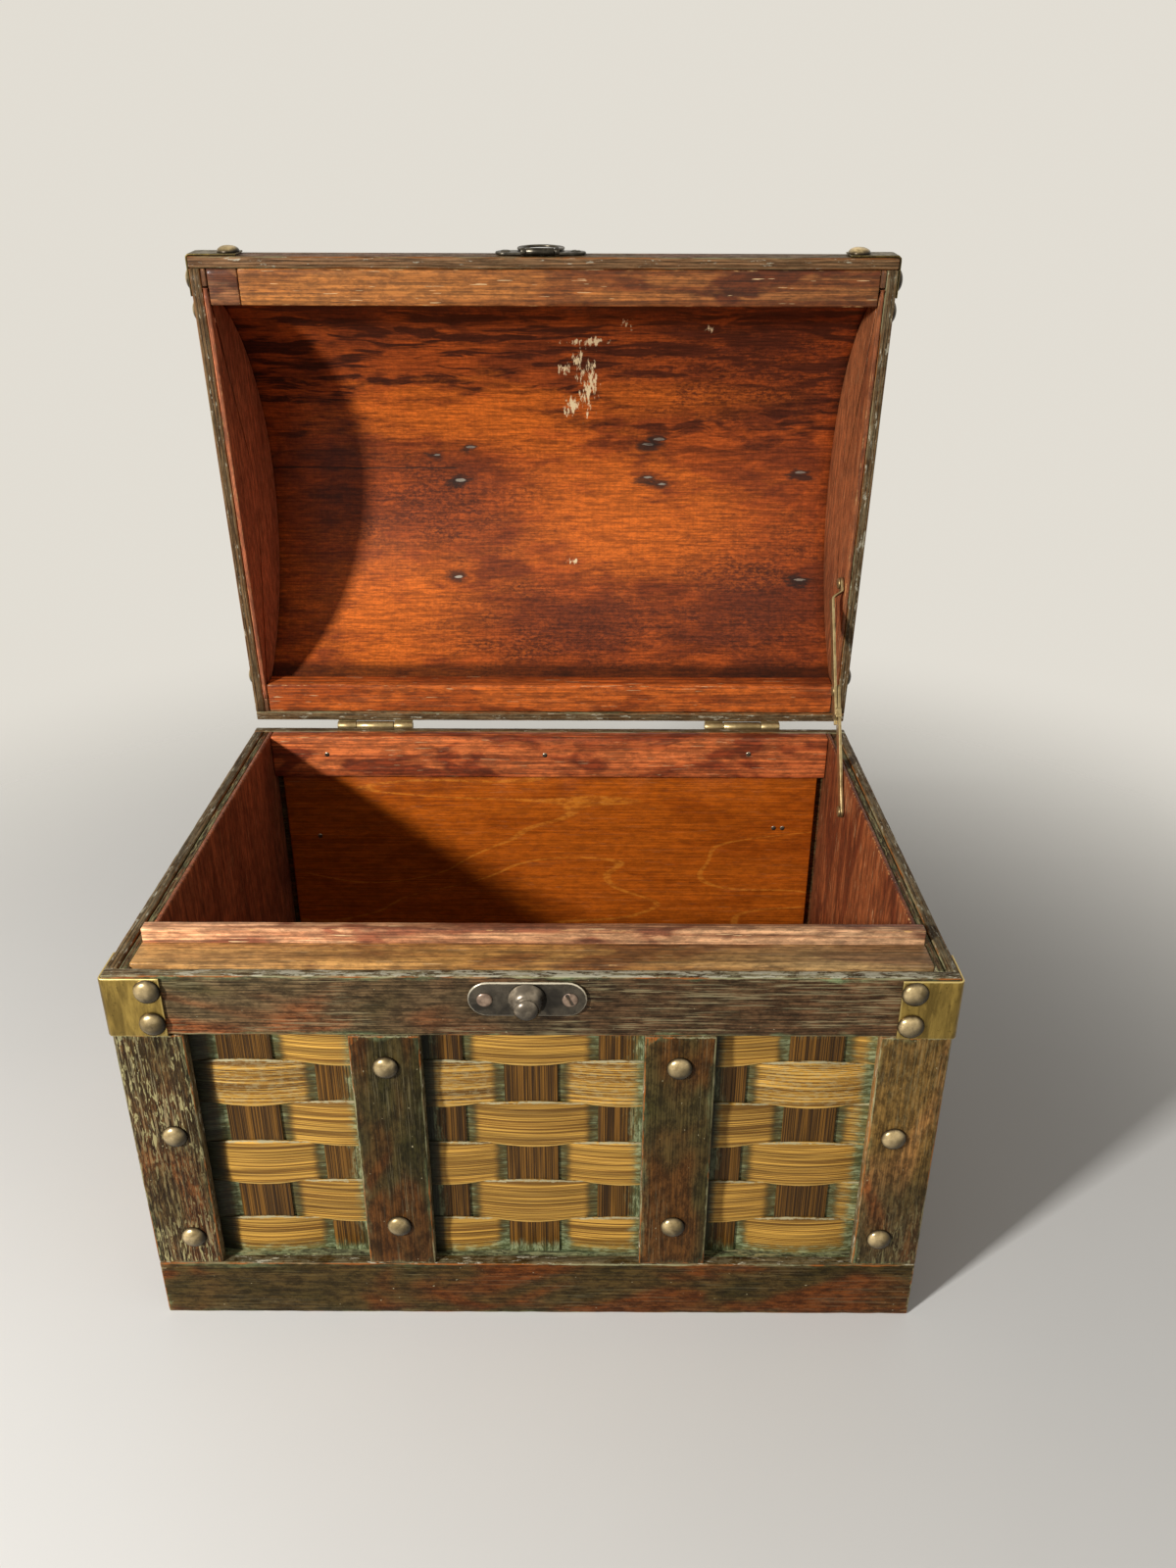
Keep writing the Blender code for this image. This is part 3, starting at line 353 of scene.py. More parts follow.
class Recipe:
    # Short calls for the nodes of one material. A value is a number, a colour or a
    # socket. Noise is read along the recipe's vector, and tints go over its colour.
    def __init__(self, name, **fixed):
        self.paint = bpy.data.materials.new(name)
        self.paint.use_nodes = True
        self.nodes = self.paint.node_tree.nodes
        self.links = self.paint.node_tree.links
        self.shader = self.nodes["Principled BSDF"]
        self.set(**fixed)

    def put(self, socket, value):
        if isinstance(value, bpy.types.NodeSocket):
            self.links.new(value, socket)
        elif isinstance(value, tuple) and len(value) == 3 and socket.type == "RGBA":
            socket.default_value = (*value, 1)
        else:
            socket.default_value = value

    def set(self, **values):
        for key, value in values.items():
            self.put(self.shader.inputs[socketNames.get(key, key.capitalize())], value)

    def node(self, kind, inputs=(), **settings):
        made = self.nodes.new("ShaderNode" + kind)
        for key, value in settings.items():
            setattr(made, key, value)
        for key, value in dict(inputs).items():
            self.put(made.inputs[key], value)
        return made

    def mark(self, name, part="Fac"):
        return self.node("Attribute", attribute_name=name).outputs[part]

    def parts(self, vector):
        return self.node("SeparateXYZ", {0: vector}).outputs

    def looks(self):
        # The three looks. From here on, noise is read along the piece.
        self.vector = self.mark("coord", "Vector")
        return self.parts(self.mark("look", "Vector"))

    def scaled(self, vector, shares):
        return self.node("VectorMath", {0: vector, 1: shares}, operation="MULTIPLY").outputs[0]

    def moved(self, vector, way, amount):
        # The vector, shifted by way times amount, to bend a pattern by another one.
        return self.node("VectorMath", {0: vector, 1: self.shade(way, amount)}, operation="ADD").outputs[0]

    def noise(self, shares, detail=3, roughness=0.55, distortion=0, vector=None):
        # The first share is for the lengthwise way. The last one is for all other ways.
        vector = self.scaled(self.vector if vector is None else vector, (*shares, shares[-1])[:3])
        inputs = {"Vector": vector, "Scale": 1, "Detail": detail, "Roughness": roughness, "Distortion": distortion}
        return self.node("TexNoise", inputs).outputs["Fac"]

    def maths(self, operation, a, b=0):
        return self.node("Math", {0: a, 1: b}, operation=operation).outputs[0]

    def times(self, a, b):
        return self.maths("MULTIPLY", a, b)

    def plus(self, a, b):
        return self.maths("ADD", a, b)

    def fade(self, value, low, high, start=0, end=1):
        inputs = {"Value": value, "From Min": low, "From Max": high, "To Min": start, "To Max": end}
        return self.node("MapRange", inputs, interpolation_type="SMOOTHSTEP").outputs[0]

    def blend(self, share, a, b):
        return self.node("Mix", {0: share, 6: a, 7: b}, data_type="RGBA", blend_type="MIX").outputs[2]

    def over(self, tint, share, amount=None):
        # Lays a tint over the colour, as strongly as share times amount.
        self.colour = self.blend(share if amount is None else self.times(share, amount), self.colour, tint)

    def shade(self, colour, amount):
        # A colour made darker or brighter by a number.
        return self.node("VectorMath", {0: colour, "Scale": amount}, operation="SCALE").outputs[0]

    def line(self, value, middle, half):
        # One on a line of this value, and nothing beyond half its width.
        off = self.maths("ABSOLUTE", self.maths("SUBTRACT", value, middle))
        return self.fade(off, half * 0.4, half, 1, 0)

    def layers(self, through, half):
        # The two glue lines of three-ply on its narrow faces.
        return self.maths("MAXIMUM", self.line(through, 0.36, half), self.line(through, 0.68, half))

    def spot(self, centre, size, rough, soft=0.28):
        # One within an ellipse, with a rough rim that a noise value moves in and out.
        shift = self.node("VectorMath", {0: self.vector, 1: centre}, operation="SUBTRACT").outputs[0]
        shares = tuple(1 / value for value in size)
        far = self.node("VectorMath", {0: self.scaled(shift, shares)}, operation="LENGTH").outputs["Value"]
        return self.fade(self.plus(far, rough), 1 - soft, 1 + soft, 1, 0)

    def bump(self, height, strength, distance):
        return self.node("Bump", {"Height": height, "Strength": strength, "Distance": distance}).outputs[0]


def stainedPly(name, grain, scratched):
    # Dark stain over rough ply: fine grain, cloudy red and dark patches, pale dashes and
    # scratches, rubbed arrises, a trace of green, and the layers on the narrow faces.
    r = Recipe(name, specular=0.1)
    reds, flecks, greens = r.looks()
    tone, edge, through = r.mark("tone", "Vector"), r.mark("edge"), r.mark("through")

    fine = r.noise((0.035, 1.3), 4, 0.68)
    mottle = r.noise((0.13, 0.26), 5, 0.8)
    cloud = r.noise((0.014, 0.035), 2, 0.5, 0.8)
    contrast = r.fade(fine, 0.39, 0.61, 1 - 0.75 * grain, 1 + 0.9 * grain)
    grained = r.times(contrast, r.fade(mottle, 0.39, 0.61, 0.55, 1.45))
    r.colour = stained = r.shade(tone, grained)
    r.over(r.scaled(stained, (1.9, 0.85, 0.5)), r.fade(cloud, 0.46, 0.62), reds)
    r.over(r.scaled(stained, (0.5, 0.62, 0.5)), r.fade(cloud, 0.47, 0.34, 0, 0.8))

    cover = r.fade(r.noise((0.018, 0.05), 2, 0.5, 0.4), 0.46, 0.58, 0.1, 1)
    dash = r.noise((0.15, 0.85), 2.5, 0.6, 0.9)
    fleck = r.times(r.fade(dash, 0.54, 0.585), r.times(r.plus(cover, 0.25), flecks))
    r.over((0.34, 0.29, 0.13), fleck, 0.85)
    groove = r.times(r.fade(dash, 0.47, 0.38), flecks)
    r.over((0.022, 0.012, 0.006), groove, 0.8)
    scratch = r.noise((0.035, 1.5), 3, 0.6, 0.3)
    r.over((0.46, 0.38, 0.2), r.fade(scratch, 0.57, 0.6), r.times(cover, scratched))
    r.over((0.45, 0.38, 0.22), r.fade(r.noise((0.5, 0.7), 1), 0.77, 0.8), 0.7)

    border = r.plus(edge, r.times(r.noise((0.04, 0.1), 4, 0.65), 12))
    r.over(r.shade((0.12, 0.15, 0.07), grained), r.fade(border, 5, 8, 1, 0), greens)
    ragged = r.times(r.noise((0.09, 0.5), 4, 0.7), 1.9)
    rubbed = r.blend(r.fade(r.noise((0.02, 0.05), 2), 0.48, 0.56), (0.36, 0.105, 0.016), (0.33, 0.31, 0.16))
    r.over(rubbed, r.fade(r.plus(edge, ragged), 1.35, 1.7, 1, 0), 0.8)

    # The narrow faces have a colour of their own, which is laid over the rest.
    colour = r.colour
    streaks = r.noise((0.05, 0.3, 1.6), 4, 0.7)
    r.colour = r.shade(tone, r.fade(streaks, 0.38, 0.62, 0.5, 2.3))
    r.over(r.shade(tone, 0.2), r.layers(through, 0.06), 0.85)
    greened = r.shade((0.27, 0.235, 0.135), r.fade(streaks, 0.38, 0.62, 0.5, 1.6))
    r.over(greened, r.fade(mottle, 0.4, 0.58), greens)
    chalk = r.plus(r.noise((0.12, 0.4, 0.6), 4, 0.75), r.times(greens, 0.14))
    r.over((0.56, 0.52, 0.38), r.fade(chalk, 0.62, 0.68), 0.8)
    colour = r.blend(r.times(r.mark("narrow"), 0.9), colour, r.colour)

    height = r.plus(r.times(fine, 0.6), r.plus(r.times(fleck, 0.9), r.times(groove, -0.7)))
    r.set(colour=colour, roughness=r.fade(mottle, 0.3, 0.7, 0.6, 0.34), normal=r.bump(height, 0.8, 0.6 * mm))
    return r.paint


dustHaze = (0.5, 0.43, 0.34)


def varnishedPly(name, grain, vein=0, haze=0.03):
    # Clear brown varnish over fine ply: long grain, dark figure, pale veins, and rubbed
    # pale arrises.
    r = Recipe(name, specular=0.1, coat=0.12, coatRoughness=0.14)
    figures, chips, dusty = r.looks()
    tone = r.mark("tone", "Vector")

    fine = r.noise((0.02, 1.1), 4, 0.65)
    streak = r.noise((0.008, 0.28), 3, 0.6, 0.4)
    cloud = r.noise((0.016, 0.05), 3, 0.6, 0.6)
    mottle = r.noise((0.12, 0.3), 4, 0.75)
    even = r.fade(mottle, 0.39, 0.61, 1 - 0.8 * grain, 1 + 0.8 * grain)
    r.colour = stained = r.shade(tone, r.times(r.fade(fine, 0.39, 0.61, 1 - grain, 1 + grain), even))
    r.over(r.scaled(stained, (0.5, 0.36, 0.3)), r.fade(streak, 0.46, 0.58), r.times(figures, 0.7))
    r.over(r.scaled(stained, (0.36, 0.22, 0.2)), r.fade(cloud, 0.5, 0.6), figures)
    pore = r.fade(r.noise((0.12, 1.8), 1, 0.5), 0.66, 0.72)
    r.over(r.scaled(tone, (0.2, 0.12, 0.1)), pore, 1.7 * grain)
    if vein:
        ridge = r.noise((0.0045, 0.022), 1, 0.4, 0.3)
        veins = r.maths("MAXIMUM", r.line(ridge, 0.43, 0.006), r.line(ridge, 0.56, 0.006))
        r.over(r.scaled(tone, (1.6, 2.6, 4)), veins, r.fade(mottle, 0.4, 0.6, 0.2 * vein, vein))

    dust = r.times(r.fade(r.noise((0.04, 0.7), 4, 0.7, 0.5), 0.56, 0.66), dusty)
    r.over((0.5, 0.33, 0.17), dust, 0.7)
    nick = r.fade(r.noise((0.06, 1.1), 2, 0.5), 0.7, 0.72)
    r.over((0.78, 0.52, 0.26), nick, r.times(chips, 0.9))
    border = r.plus(r.mark("edge"), r.times(r.noise((0.13, 0.5), 3, 0.7), 2.6))
    r.over((0.66, 0.36, 0.13), r.fade(border, 1.1, 1.6, 1, 0), r.fade(chips, 0, 1, 0.3, 1))
    r.over(r.scaled(tone, (0.3, 0.2, 0.2)), r.mark("narrow"), r.times(r.layers(r.mark("through"), 0.07), 0.7))
    r.over(dustHaze, haze)

    speckle = r.noise((0.9, 1.3), 3, 0.7)
    height = r.plus(r.times(fine, 0.4), r.plus(r.times(speckle, 0.35), r.times(pore, -0.8)))
    r.set(colour=r.colour, roughness=r.fade(mottle, 0.3, 0.7, 0.5, 0.32), normal=r.bump(height, 0.4, 0.3 * mm))
    r.set(coatNormal=r.bump(speckle, 0.3, 0.25 * mm))
    return r.paint


domeMarks = {
    # Places on the bent skin: across from the middle, then along the bend from the
    # front rim, with half the spread of each, all in millimetres.
    "bright": [(-94, 213, 54, 38), (26, 151, 44, 30), (-44, 97, 66, 17), (72, 168, 48, 24), (70, 84, 50, 9)],
    "dark": [(-66, 146, 46, 24), (118, 208, 38, 38), (108, 58, 58, 36), (15, 224, 60, 24), (0, 8, 170, 14)],
    "staples": [
        (-65, 120.5), (-46, 116), (-52, 135), (-55, 191), (54, 114),
        (60, 111), (54, 133), (62, 137), (140.5, 130), (143, 192),
    ],
    "chips": [
        (20, 46, 9, 2.4), (8, 65, 3.4, 3.6), (21, 75, 4.2, 14), (12, 90, 3.2, 4.5),
        (15, 58, 2.4, 7), (40, 31, 2.2, 4), (83, 35, 1.6, 3), (12.5, 181, 3.4, 1.4),
    ],
    "crackEnd": -51,
    "crackAlong": 127.5,
    "depth": 9,
}


def domeInside():
    # Rotary-cut birch under orange varnish. Its figure runs from side to side in long
    # waves. Cloudy light and dark patches, staples, a crack and a few pale chips.
    r = Recipe("domeInside", specular=0.1, coat=0.1, coatRoughness=0.14)
    r.vector = coord = r.mark("coord", "Vector")
    x, y = r.parts(coord)[:2]
    bend = r.node("TexNoise", {"Vector": r.scaled(coord, (0.016, 0.03, 0.03)), "Scale": 1, "Detail": 2})
    waved = r.moved(coord, bend.outputs["Color"], 26)
    fine = r.noise((0.06, 0.9), 4, 0.7)
    bands = r.maths("SINE", r.plus(r.times(y, 0.42), r.times(r.noise((0.009, 0.022), 3, 0.6, 0.3), 34)))
    streak = r.plus(r.times(bands, 0.08), r.noise((0.01, 0.2), 3, 0.62, 0.3, waved))
    cloud = r.noise((0.022, 0.04), 4, 0.62, 0.4, waved)
    cross = r.noise((0.9, 0.03), 2, 0.5)

    def within(mark, rough, *soft):
        across, along, wide, long = mark
        return r.spot((across, along, 0), (wide, long, domeMarks["depth"]), rough, *soft)

    def uneven(shares, roughness, amount):
        return r.times(r.maths("SUBTRACT", r.noise(shares, 4, roughness), 0.5), amount)

    r.colour = r.blend(r.fade(cloud, 0.4, 0.6), (0.19, 0.034, 0.007), (0.39, 0.072, 0.01))
    figured = r.plus(r.times(r.fade(y, 135, 95), 0.85), 0.15)
    r.over((0.065, 0.012, 0.004), r.fade(streak, 0.46, 0.58), figured)
    rim = uneven((0.035, 0.1), 0.72, 4)
    for mark in domeMarks["bright"]:
        r.over((0.57, 0.122, 0.012), within(mark, rim, 0.75), 0.95)
    mottle = r.fade(r.noise((0.3, 0.5), 4, 0.75), 0.42, 0.58)
    for mark in domeMarks["dark"]:
        r.over((0.11, 0.022, 0.008), within(mark, rim, 0.75), r.plus(r.times(mottle, 0.45), 0.5))
    grained = r.times(r.fade(fine, 0.38, 0.62, 0.68, 1.32), r.plus(r.times(mottle, -0.3), 1.15))
    r.colour = r.shade(r.colour, grained)
    r.colour = r.shade(r.colour, r.fade(cross, 0.3, 0.7, 0.94, 1.06))

    metal = 0.0
    for across, along in domeMarks["staples"]:
        ring = within((across, along, 4.6, 2.6), r.plus(r.times(rim, 1.6), -0.2), 0.5)
        r.over((0.018, 0.012, 0.01), ring, 0.85)
        wire = within((across + 0.8, along - 0.5, 2.4, 0.7), r.times(rim, 1.5))
        r.over((0.42, 0.37, 0.3), wire, 0.9)
        metal = r.maths("MAXIMUM", wire, metal)
    ragged = uneven((0.5, 0.12), 0.7, 7)
    for mark in domeMarks["chips"]:
        r.over((0.9, 0.7, 0.4), within(mark, r.plus(ragged, 0.4)))
    wander = r.plus(y, r.times(r.noise((0.05, 0)), 2))
    crackEnd = r.fade(x, domeMarks["crackEnd"] - 4, domeMarks["crackEnd"], 1, 0)
    crack = r.times(r.line(wander, domeMarks["crackAlong"] + 1, 0.45), crackEnd)
    r.over((0.02, 0.008, 0.005), crack)
    # The rear end lies in shadow, a thin haze dulls it all, and the outside is bare.
    r.colour = r.blend(0.018, r.shade(r.colour, r.fade(y, 242, 249, 1, 0.3)), dustHaze)
    r.over((0.045, 0.028, 0.011), r.fade(r.mark("through"), 0.6, 0.75))

    speckle = r.noise((1.4, 1.7), 3, 0.7)
    height = r.plus(r.times(fine, 0.4), r.plus(r.times(speckle, 0.5), r.times(crack, -2)))
    r.set(colour=r.colour, roughness=r.fade(speckle, 0.3, 0.7, 0.5, 0.3), metallic=r.times(metal, 0.8))
    r.set(normal=r.bump(height, 0.4, 0.25 * mm), coatNormal=r.bump(speckle, 0.35, 0.2 * mm))
    return r.paint


def splint(name, tone, lineTone, dark, olive):
    # Flat wooden splint: straight fine lines, painted shade in brown and dark olive where
    # it dips, a green glaze along the frame, a dusty fringe on its upper edge and a painted
    # highlight on its lower, and painted black shadow in the corner beside a strip.
    r = Recipe(name, specular=0.2)
    dips, frames, vary = r.looks()
    edge, height = r.mark("edge"), r.mark("through")
    fine = r.noise((0.007, 1.7), 3, 0.75)
    coarse = r.noise((0.012, 0.3), 2, 0.5)
    deep = r.fade(r.noise((0.012, 2.1), 2, 0.5, 0.1), 0.54, 0.6)
    r.colour = r.blend(r.fade(fine, 0.44, 0.54), lineTone, tone)
    r.colour = r.shade(r.colour, r.fade(coarse, 0.36, 0.64, 0.75, 1.2))
    r.colour = r.shade(r.colour, r.fade(vary, 0, 1, 0.84, 1))
    r.over(dark, deep, r.fade(vary, 0.92, 1, 0.55, 0.9))
    rough = r.noise((0.14, 0.4), 4, 0.75)
    bleached = r.times(r.fade(r.noise((0.3, 0.8), 4, 0.8), 0.47, 0.58), r.fade(vary, 0.92, 1))
    r.over((0.52, 0.44, 0.22), bleached, 0.35)
    uneven = r.times(r.maths("SUBTRACT", rough, 0.5), 0.7)
    # Painted shade where the splint dips behind a strip: brown first, then dark olive.
    dipShade = r.plus(dips, r.times(r.fade(fine, 0.4, 0.6, 0.5, -0.5), 0.5))
    r.over(r.shade(lineTone, 0.7), r.fade(dipShade, 0, 0.5), 0.6)
    r.over(r.shade(olive, r.fade(fine, 0.4, 0.6, 0.4, 1.7)), r.fade(r.plus(dips, uneven), 0.15, 0.75), 0.85)
    glaze = r.plus(r.plus(r.times(dips, 0.5), frames), uneven)
    green = r.blend(r.fade(rough, 0.46, 0.62), (0.1, 0.125, 0.05), (0.36, 0.42, 0.22))
    r.over(r.shade(green, r.fade(fine, 0.38, 0.62, 0.75, 1.2)), r.fade(glaze, 0.3, 0.9), 0.8)
    frayed = r.plus(edge, r.times(r.noise((0.25, 0.5), 3, 0.8), 1.8))
    fringe = r.times(r.fade(frayed, 0.95, 1.35, 1, 0), r.fade(height, 0.8, 0.93))
    r.over((0.42, 0.36, 0.2), fringe, r.fade(dips, 0.95, 0.5))
    # A painted highlight along the lower edge, fainter where the splint dips.
    shine = r.times(r.fade(r.plus(edge, r.times(rough, 0.6)), 0.5, 0.9, 1, 0), r.fade(height, 0.2, 0.07))
    r.over((0.7, 0.42, 0.1), shine, r.fade(dips, 0.8, 0.3, 0, 0.8))
    # Painted black shadow, where the narrow mark is set beside a strip.
    r.over((0.006, 0.006, 0.003), r.mark("narrow"), 0.93)
    relief = r.plus(r.times(fine, 0.8), r.times(deep, -0.8))
    r.set(colour=r.colour, roughness=r.fade(fine, 0.3, 0.7, 0.6, 0.4), normal=r.bump(relief, 0.7, 0.4 * mm))
    return r.paint


def wornMetal(name, bright, dull, grime, shine, streaks, rim=None, skirt=None, metallic=0.9, glow=0):
    # Worn metal: cloudy tarnish, fine scratches and grime in patches. A rim is a rubbed
    # line along each edge, stronger on upward faces as a painted highlight. A foot tint
    # is dirt and painted shade round the foot of a turned piece, and painted light makes
    # what faces the key lamp brighter and what faces away darker.
    r = Recipe(name, metallic=metallic)
    r.vector = r.scaled(r.node("TexCoord").outputs["Object"], (1000, 1000, 1000))
    cloud = r.noise(streaks, 3, 0.55, 0.3)
    fine = r.noise(tuple(share * 3 for share in streaks), 3, 0.7)
    r.colour = r.blend(r.fade(cloud, 0.35, 0.65), dull, bright)
    r.colour = r.shade(r.colour, r.fade(fine, 0.36, 0.64, 0.88, 1.12))
    dirt = r.fade(r.noise((0.5, 0.5), 4, 0.72), 0.58, 0.7)
    r.over(grime, dirt, 0.5)
    if skirt:
        # Dirt and painted shade round the foot, which also darkens a screw's slot.
        ragged = r.times(r.noise((0.35, 0.35), 3, 0.6), 0.5)
        r.over(skirt, r.fade(r.plus(r.mark("through"), ragged), 0.45, 1.1, 0.95, 0))
    normal = r.node("NewGeometry").outputs["Normal"]
    if rim:
        ragged = r.times(r.noise((0.4, 0.4), 3, 0.7), 0.8)
        # Painted highlight: the rubbed rim shows more on faces that turn upward.
        highlightUpward = r.fade(r.parts(normal)[2], -0.2, 0.6, 0.25, 1)
        r.over(rim, highlightUpward, r.fade(r.plus(r.mark("edge"), ragged), 0.75, 1.1, 0.9, 0))
    if glow:
        # Painted light: brighter where the face turns to the key lamp, darker where it turns away.
        facing = r.node("VectorMath", {0: normal, 1: (-0.55, -0.3, 0.78)}, operation="DOT_PRODUCT")
        r.colour = r.shade(r.colour, r.fade(facing.outputs["Value"], -0.1, 1, 1 - glow, 1 + glow))
    rough = r.plus(r.fade(cloud, 0.36, 0.64, shine + 0.14, shine), r.times(dirt, 0.15))
    r.set(colour=r.colour, roughness=rough, normal=r.bump(r.plus(fine, r.times(dirt, 0.4)), 0.15, 0.2 * mm))
    return r.paint


roughStain = stainedPly("roughStain", 0.7, 0.4)
smoothStain = stainedPly("smoothStain", 0.42, 0.12)
varnish = varnishedPly("varnishedPly", 0.36)
smoothVarnish = varnishedPly("smoothVarnish", 0.2, 0.55, 0)
domeVarnish = domeInside()
splints = [
    splint("weaverSplint", (0.69, 0.375, 0.066), (0.22, 0.098, 0.014), (0.07, 0.028, 0.004), (0.05, 0.045, 0.014)),
    splint("uprightSplint", (0.185, 0.08, 0.01), (0.04, 0.017, 0.003), (0.012, 0.006, 0.002), (0.03, 0.024, 0.008)),
]
# Bright, dull and grimy colour, then the roughness and the shares of the streaks.
plateBrass = wornMetal(
    "plateBrass", (0.35, 0.235, 0.056), (0.18, 0.118, 0.028), (0.07, 0.045, 0.012), 0.3, (0.3, 0.3, 0.05),
    # The rim is rubbed wear, with a painted highlight on upward faces.
    rim=(0.75, 0.58, 0.22),
)
nailBrass = wornMetal(
    "nailBrass", (0.5, 0.375, 0.19), (0.21, 0.15, 0.064), (0.05, 0.035, 0.02), 0.2, (0.15, 0.15),
    # Dirt and painted shade round the foot, and painted light from the key lamp's side.
    skirt=(0.03, 0.02, 0.01), metallic=0.6, glow=0.85,
)
lidBrass = wornMetal(
    "lidBrass", (0.16, 0.115, 0.035), (0.07, 0.05, 0.018), (0.03, 0.022, 0.01), 0.34, (0.3, 0.3, 0.05),
)
agedBronze = wornMetal(
    "agedBronze", (0.11, 0.095, 0.07), (0.035, 0.03, 0.022), (0.015, 0.012, 0.009), 0.3, (0.15, 0.15),
)
bronze = wornMetal(
    "darkBronze", (0.29, 0.235, 0.165), (0.075, 0.06, 0.042), (0.02, 0.015, 0.011), 0.16, (0.12, 0.12),
    # Painted light from the key lamp's side.
    metallic=0.6, glow=0.85,
)
# Its bright rim is partly rubbed wear and partly a painted highlight.
rubbedBronze = wornMetal(
    "rubbedBronze", (0.095, 0.078, 0.055), (0.03, 0.025, 0.018), (0.015, 0.012, 0.009), 0.2, (0.12, 0.12),
    rim=(0.9, 0.8, 0.6), metallic=0.7,
)
screwBronze = wornMetal(
    "screwBronze", (0.33, 0.23, 0.16), (0.17, 0.11, 0.075), (0.05, 0.03, 0.02), 0.3, (0.3, 0.3),
    # Dirt and painted shade at the foot and in the slot.
    skirt=(0.02, 0.014, 0.01), metallic=0.5,
)
paleBrass = wornMetal(
    "paleBrass", (0.5, 0.38, 0.18), (0.3, 0.21, 0.09), (0.2, 0.14, 0.06), 0.28, (0.12, 0.12), metallic=0.75,
)
print("materials made")

nailShape = {"radius": 5.35 * mm, "height": 2.9 * mm, "under": 0.28 * mm, "dent": 0.07 * mm}


def nailsAt(places):
    # A domed head: its height falls from the crown as a rounded square root, down to a
    # thin rim that turns under.
    turn = np.linspace(0, pi / 2, 9)
    radius, height, under = nailShape["radius"], nailShape["height"], nailShape["under"]
    crown = np.stack((np.sin(turn) ** 0.92, np.cos(turn) ** 0.95), axis=1) * (radius, height)
    profile = np.concatenate((crown, [(radius * 0.93, -under), (0, -under)]))
    heads = []
    for number, (peak, facing) in enumerate(places):
        foot = np.asarray(peak) - np.asarray(facing) * height
        heads.append(turnedPart(profile, foot, facing, dent=nailShape["dent"], seed=number, slot=1))
    return heads


def topsOf(points, height):
    # The points within a twentieth of a millimetre of the greatest height.
    return np.unique(np.round(points[height > height.max() - 0.05 * mm], 5), axis=0)


def nailsOn(name, facing, shut=False):
    # Heads over the nails that a solid carries, at its farthest points one way.
    points = nodePoints(name, shut)
    return nailsAt([(point, facing) for point in topsOf(points, points @ np.asarray(facing, dtype=float))])


# For each face of the body: its axis, both levels of its outer strips, and its way out.
faceOf = {
    side: (axis, *(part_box(side + "_rail_bottom")[end][axis] for end in (0, 1)), outward)
    for side, axis, outward in (("front", 1, (0, -1, 0)), ("left", 0, (-1, 0, 0)), ("right", 0, (1, 0, 0)))
}

# For each outer strip: its tone, then its redness, flecks and green, and its paint.
outerStrips = {
    "front_rail_top": (
        graded(
            0, (-130, (0.095, 0.06, 0.027)), (-60, (0.08, 0.048, 0.021)), (0, (0.052, 0.033, 0.016)),
            (60, (0.054, 0.034, 0.016)), (130, (0.064, 0.04, 0.019)),
        ),
        graded(
            0, (-130, (0.9, 0.04, 0.55)), (-60, (0.6, 0.04, 0.8)), (0, (0.15, 0.04, 1.2)),
            (130, (0.25, 0.04, 0.9)),
        ),
        roughStain,
    ),
    "front_rail_bottom": ((0.05, 0.029, 0.007), (0.95, 0, 0.38), smoothStain),
    "front_stile_left": ((0.06, 0.034, 0.011), (0.5, 0.85, 0.3), roughStain),
    "front_stile_mid_left": ((0.036, 0.025, 0.007), (0.8, 0, 0.4), smoothStain),
    "front_stile_mid_right": ((0.044, 0.031, 0.009), (0.7, 0.02, 0.4), smoothStain),
    "front_stile_right": (
        graded(
            2, (40, (0.056, 0.036, 0.013)), (72, (0.085, 0.048, 0.016)), (98, (0.23, 0.108, 0.03)),
            (150, (0.21, 0.1, 0.03)),
        ),
        graded(2, (45, (0.4, 0.3, 0.5)), (80, (0.8, 0.12, 0.35))),
        smoothStain,
    ),
    "left_rail_top": ((0.085, 0.05, 0.02), (0.35, 0.2, 0.25), roughStain),
    "left_rail_bottom": ((0.065, 0.036, 0.01), (0.8, 0.05, 0.15), smoothStain),
    "left_stile_front": ((0.09, 0.052, 0.02), (0.35, 0.8, 0.15), roughStain),
    "left_stile_mid": ((0.052, 0.034, 0.01), (0.35, 0.05, 0.3), smoothStain),
    "left_stile_rear": ((0.085, 0.048, 0.016), (0.5, 0.35, 0.25), roughStain),
    "right_rail_top": ((0.085, 0.05, 0.02), (0.35, 0.3, 0.3), roughStain),
    "right_rail_bottom": ((0.07, 0.037, 0.01), (0.8, 0.05, 0.15), smoothStain),
    "right_stile_front": ((0.11, 0.056, 0.018), (0.55, 0.15, 0.2), smoothStain),
    "right_stile_mid": ((0.055, 0.035, 0.01), (0.35, 0.05, 0.3), smoothStain),
    "right_stile_rear": ((0.085, 0.048, 0.016), (0.5, 0.35, 0.25), roughStain),
}
packedDirt = {"inset": 2 * mm, "back": 1 * mm, "front": 4.6 * mm, "low": 26 * mm, "high": 29.4 * mm}
sideBoard = {"gap": 0.1 * mm, "low": 158 * mm, "below": 0.7 * mm}

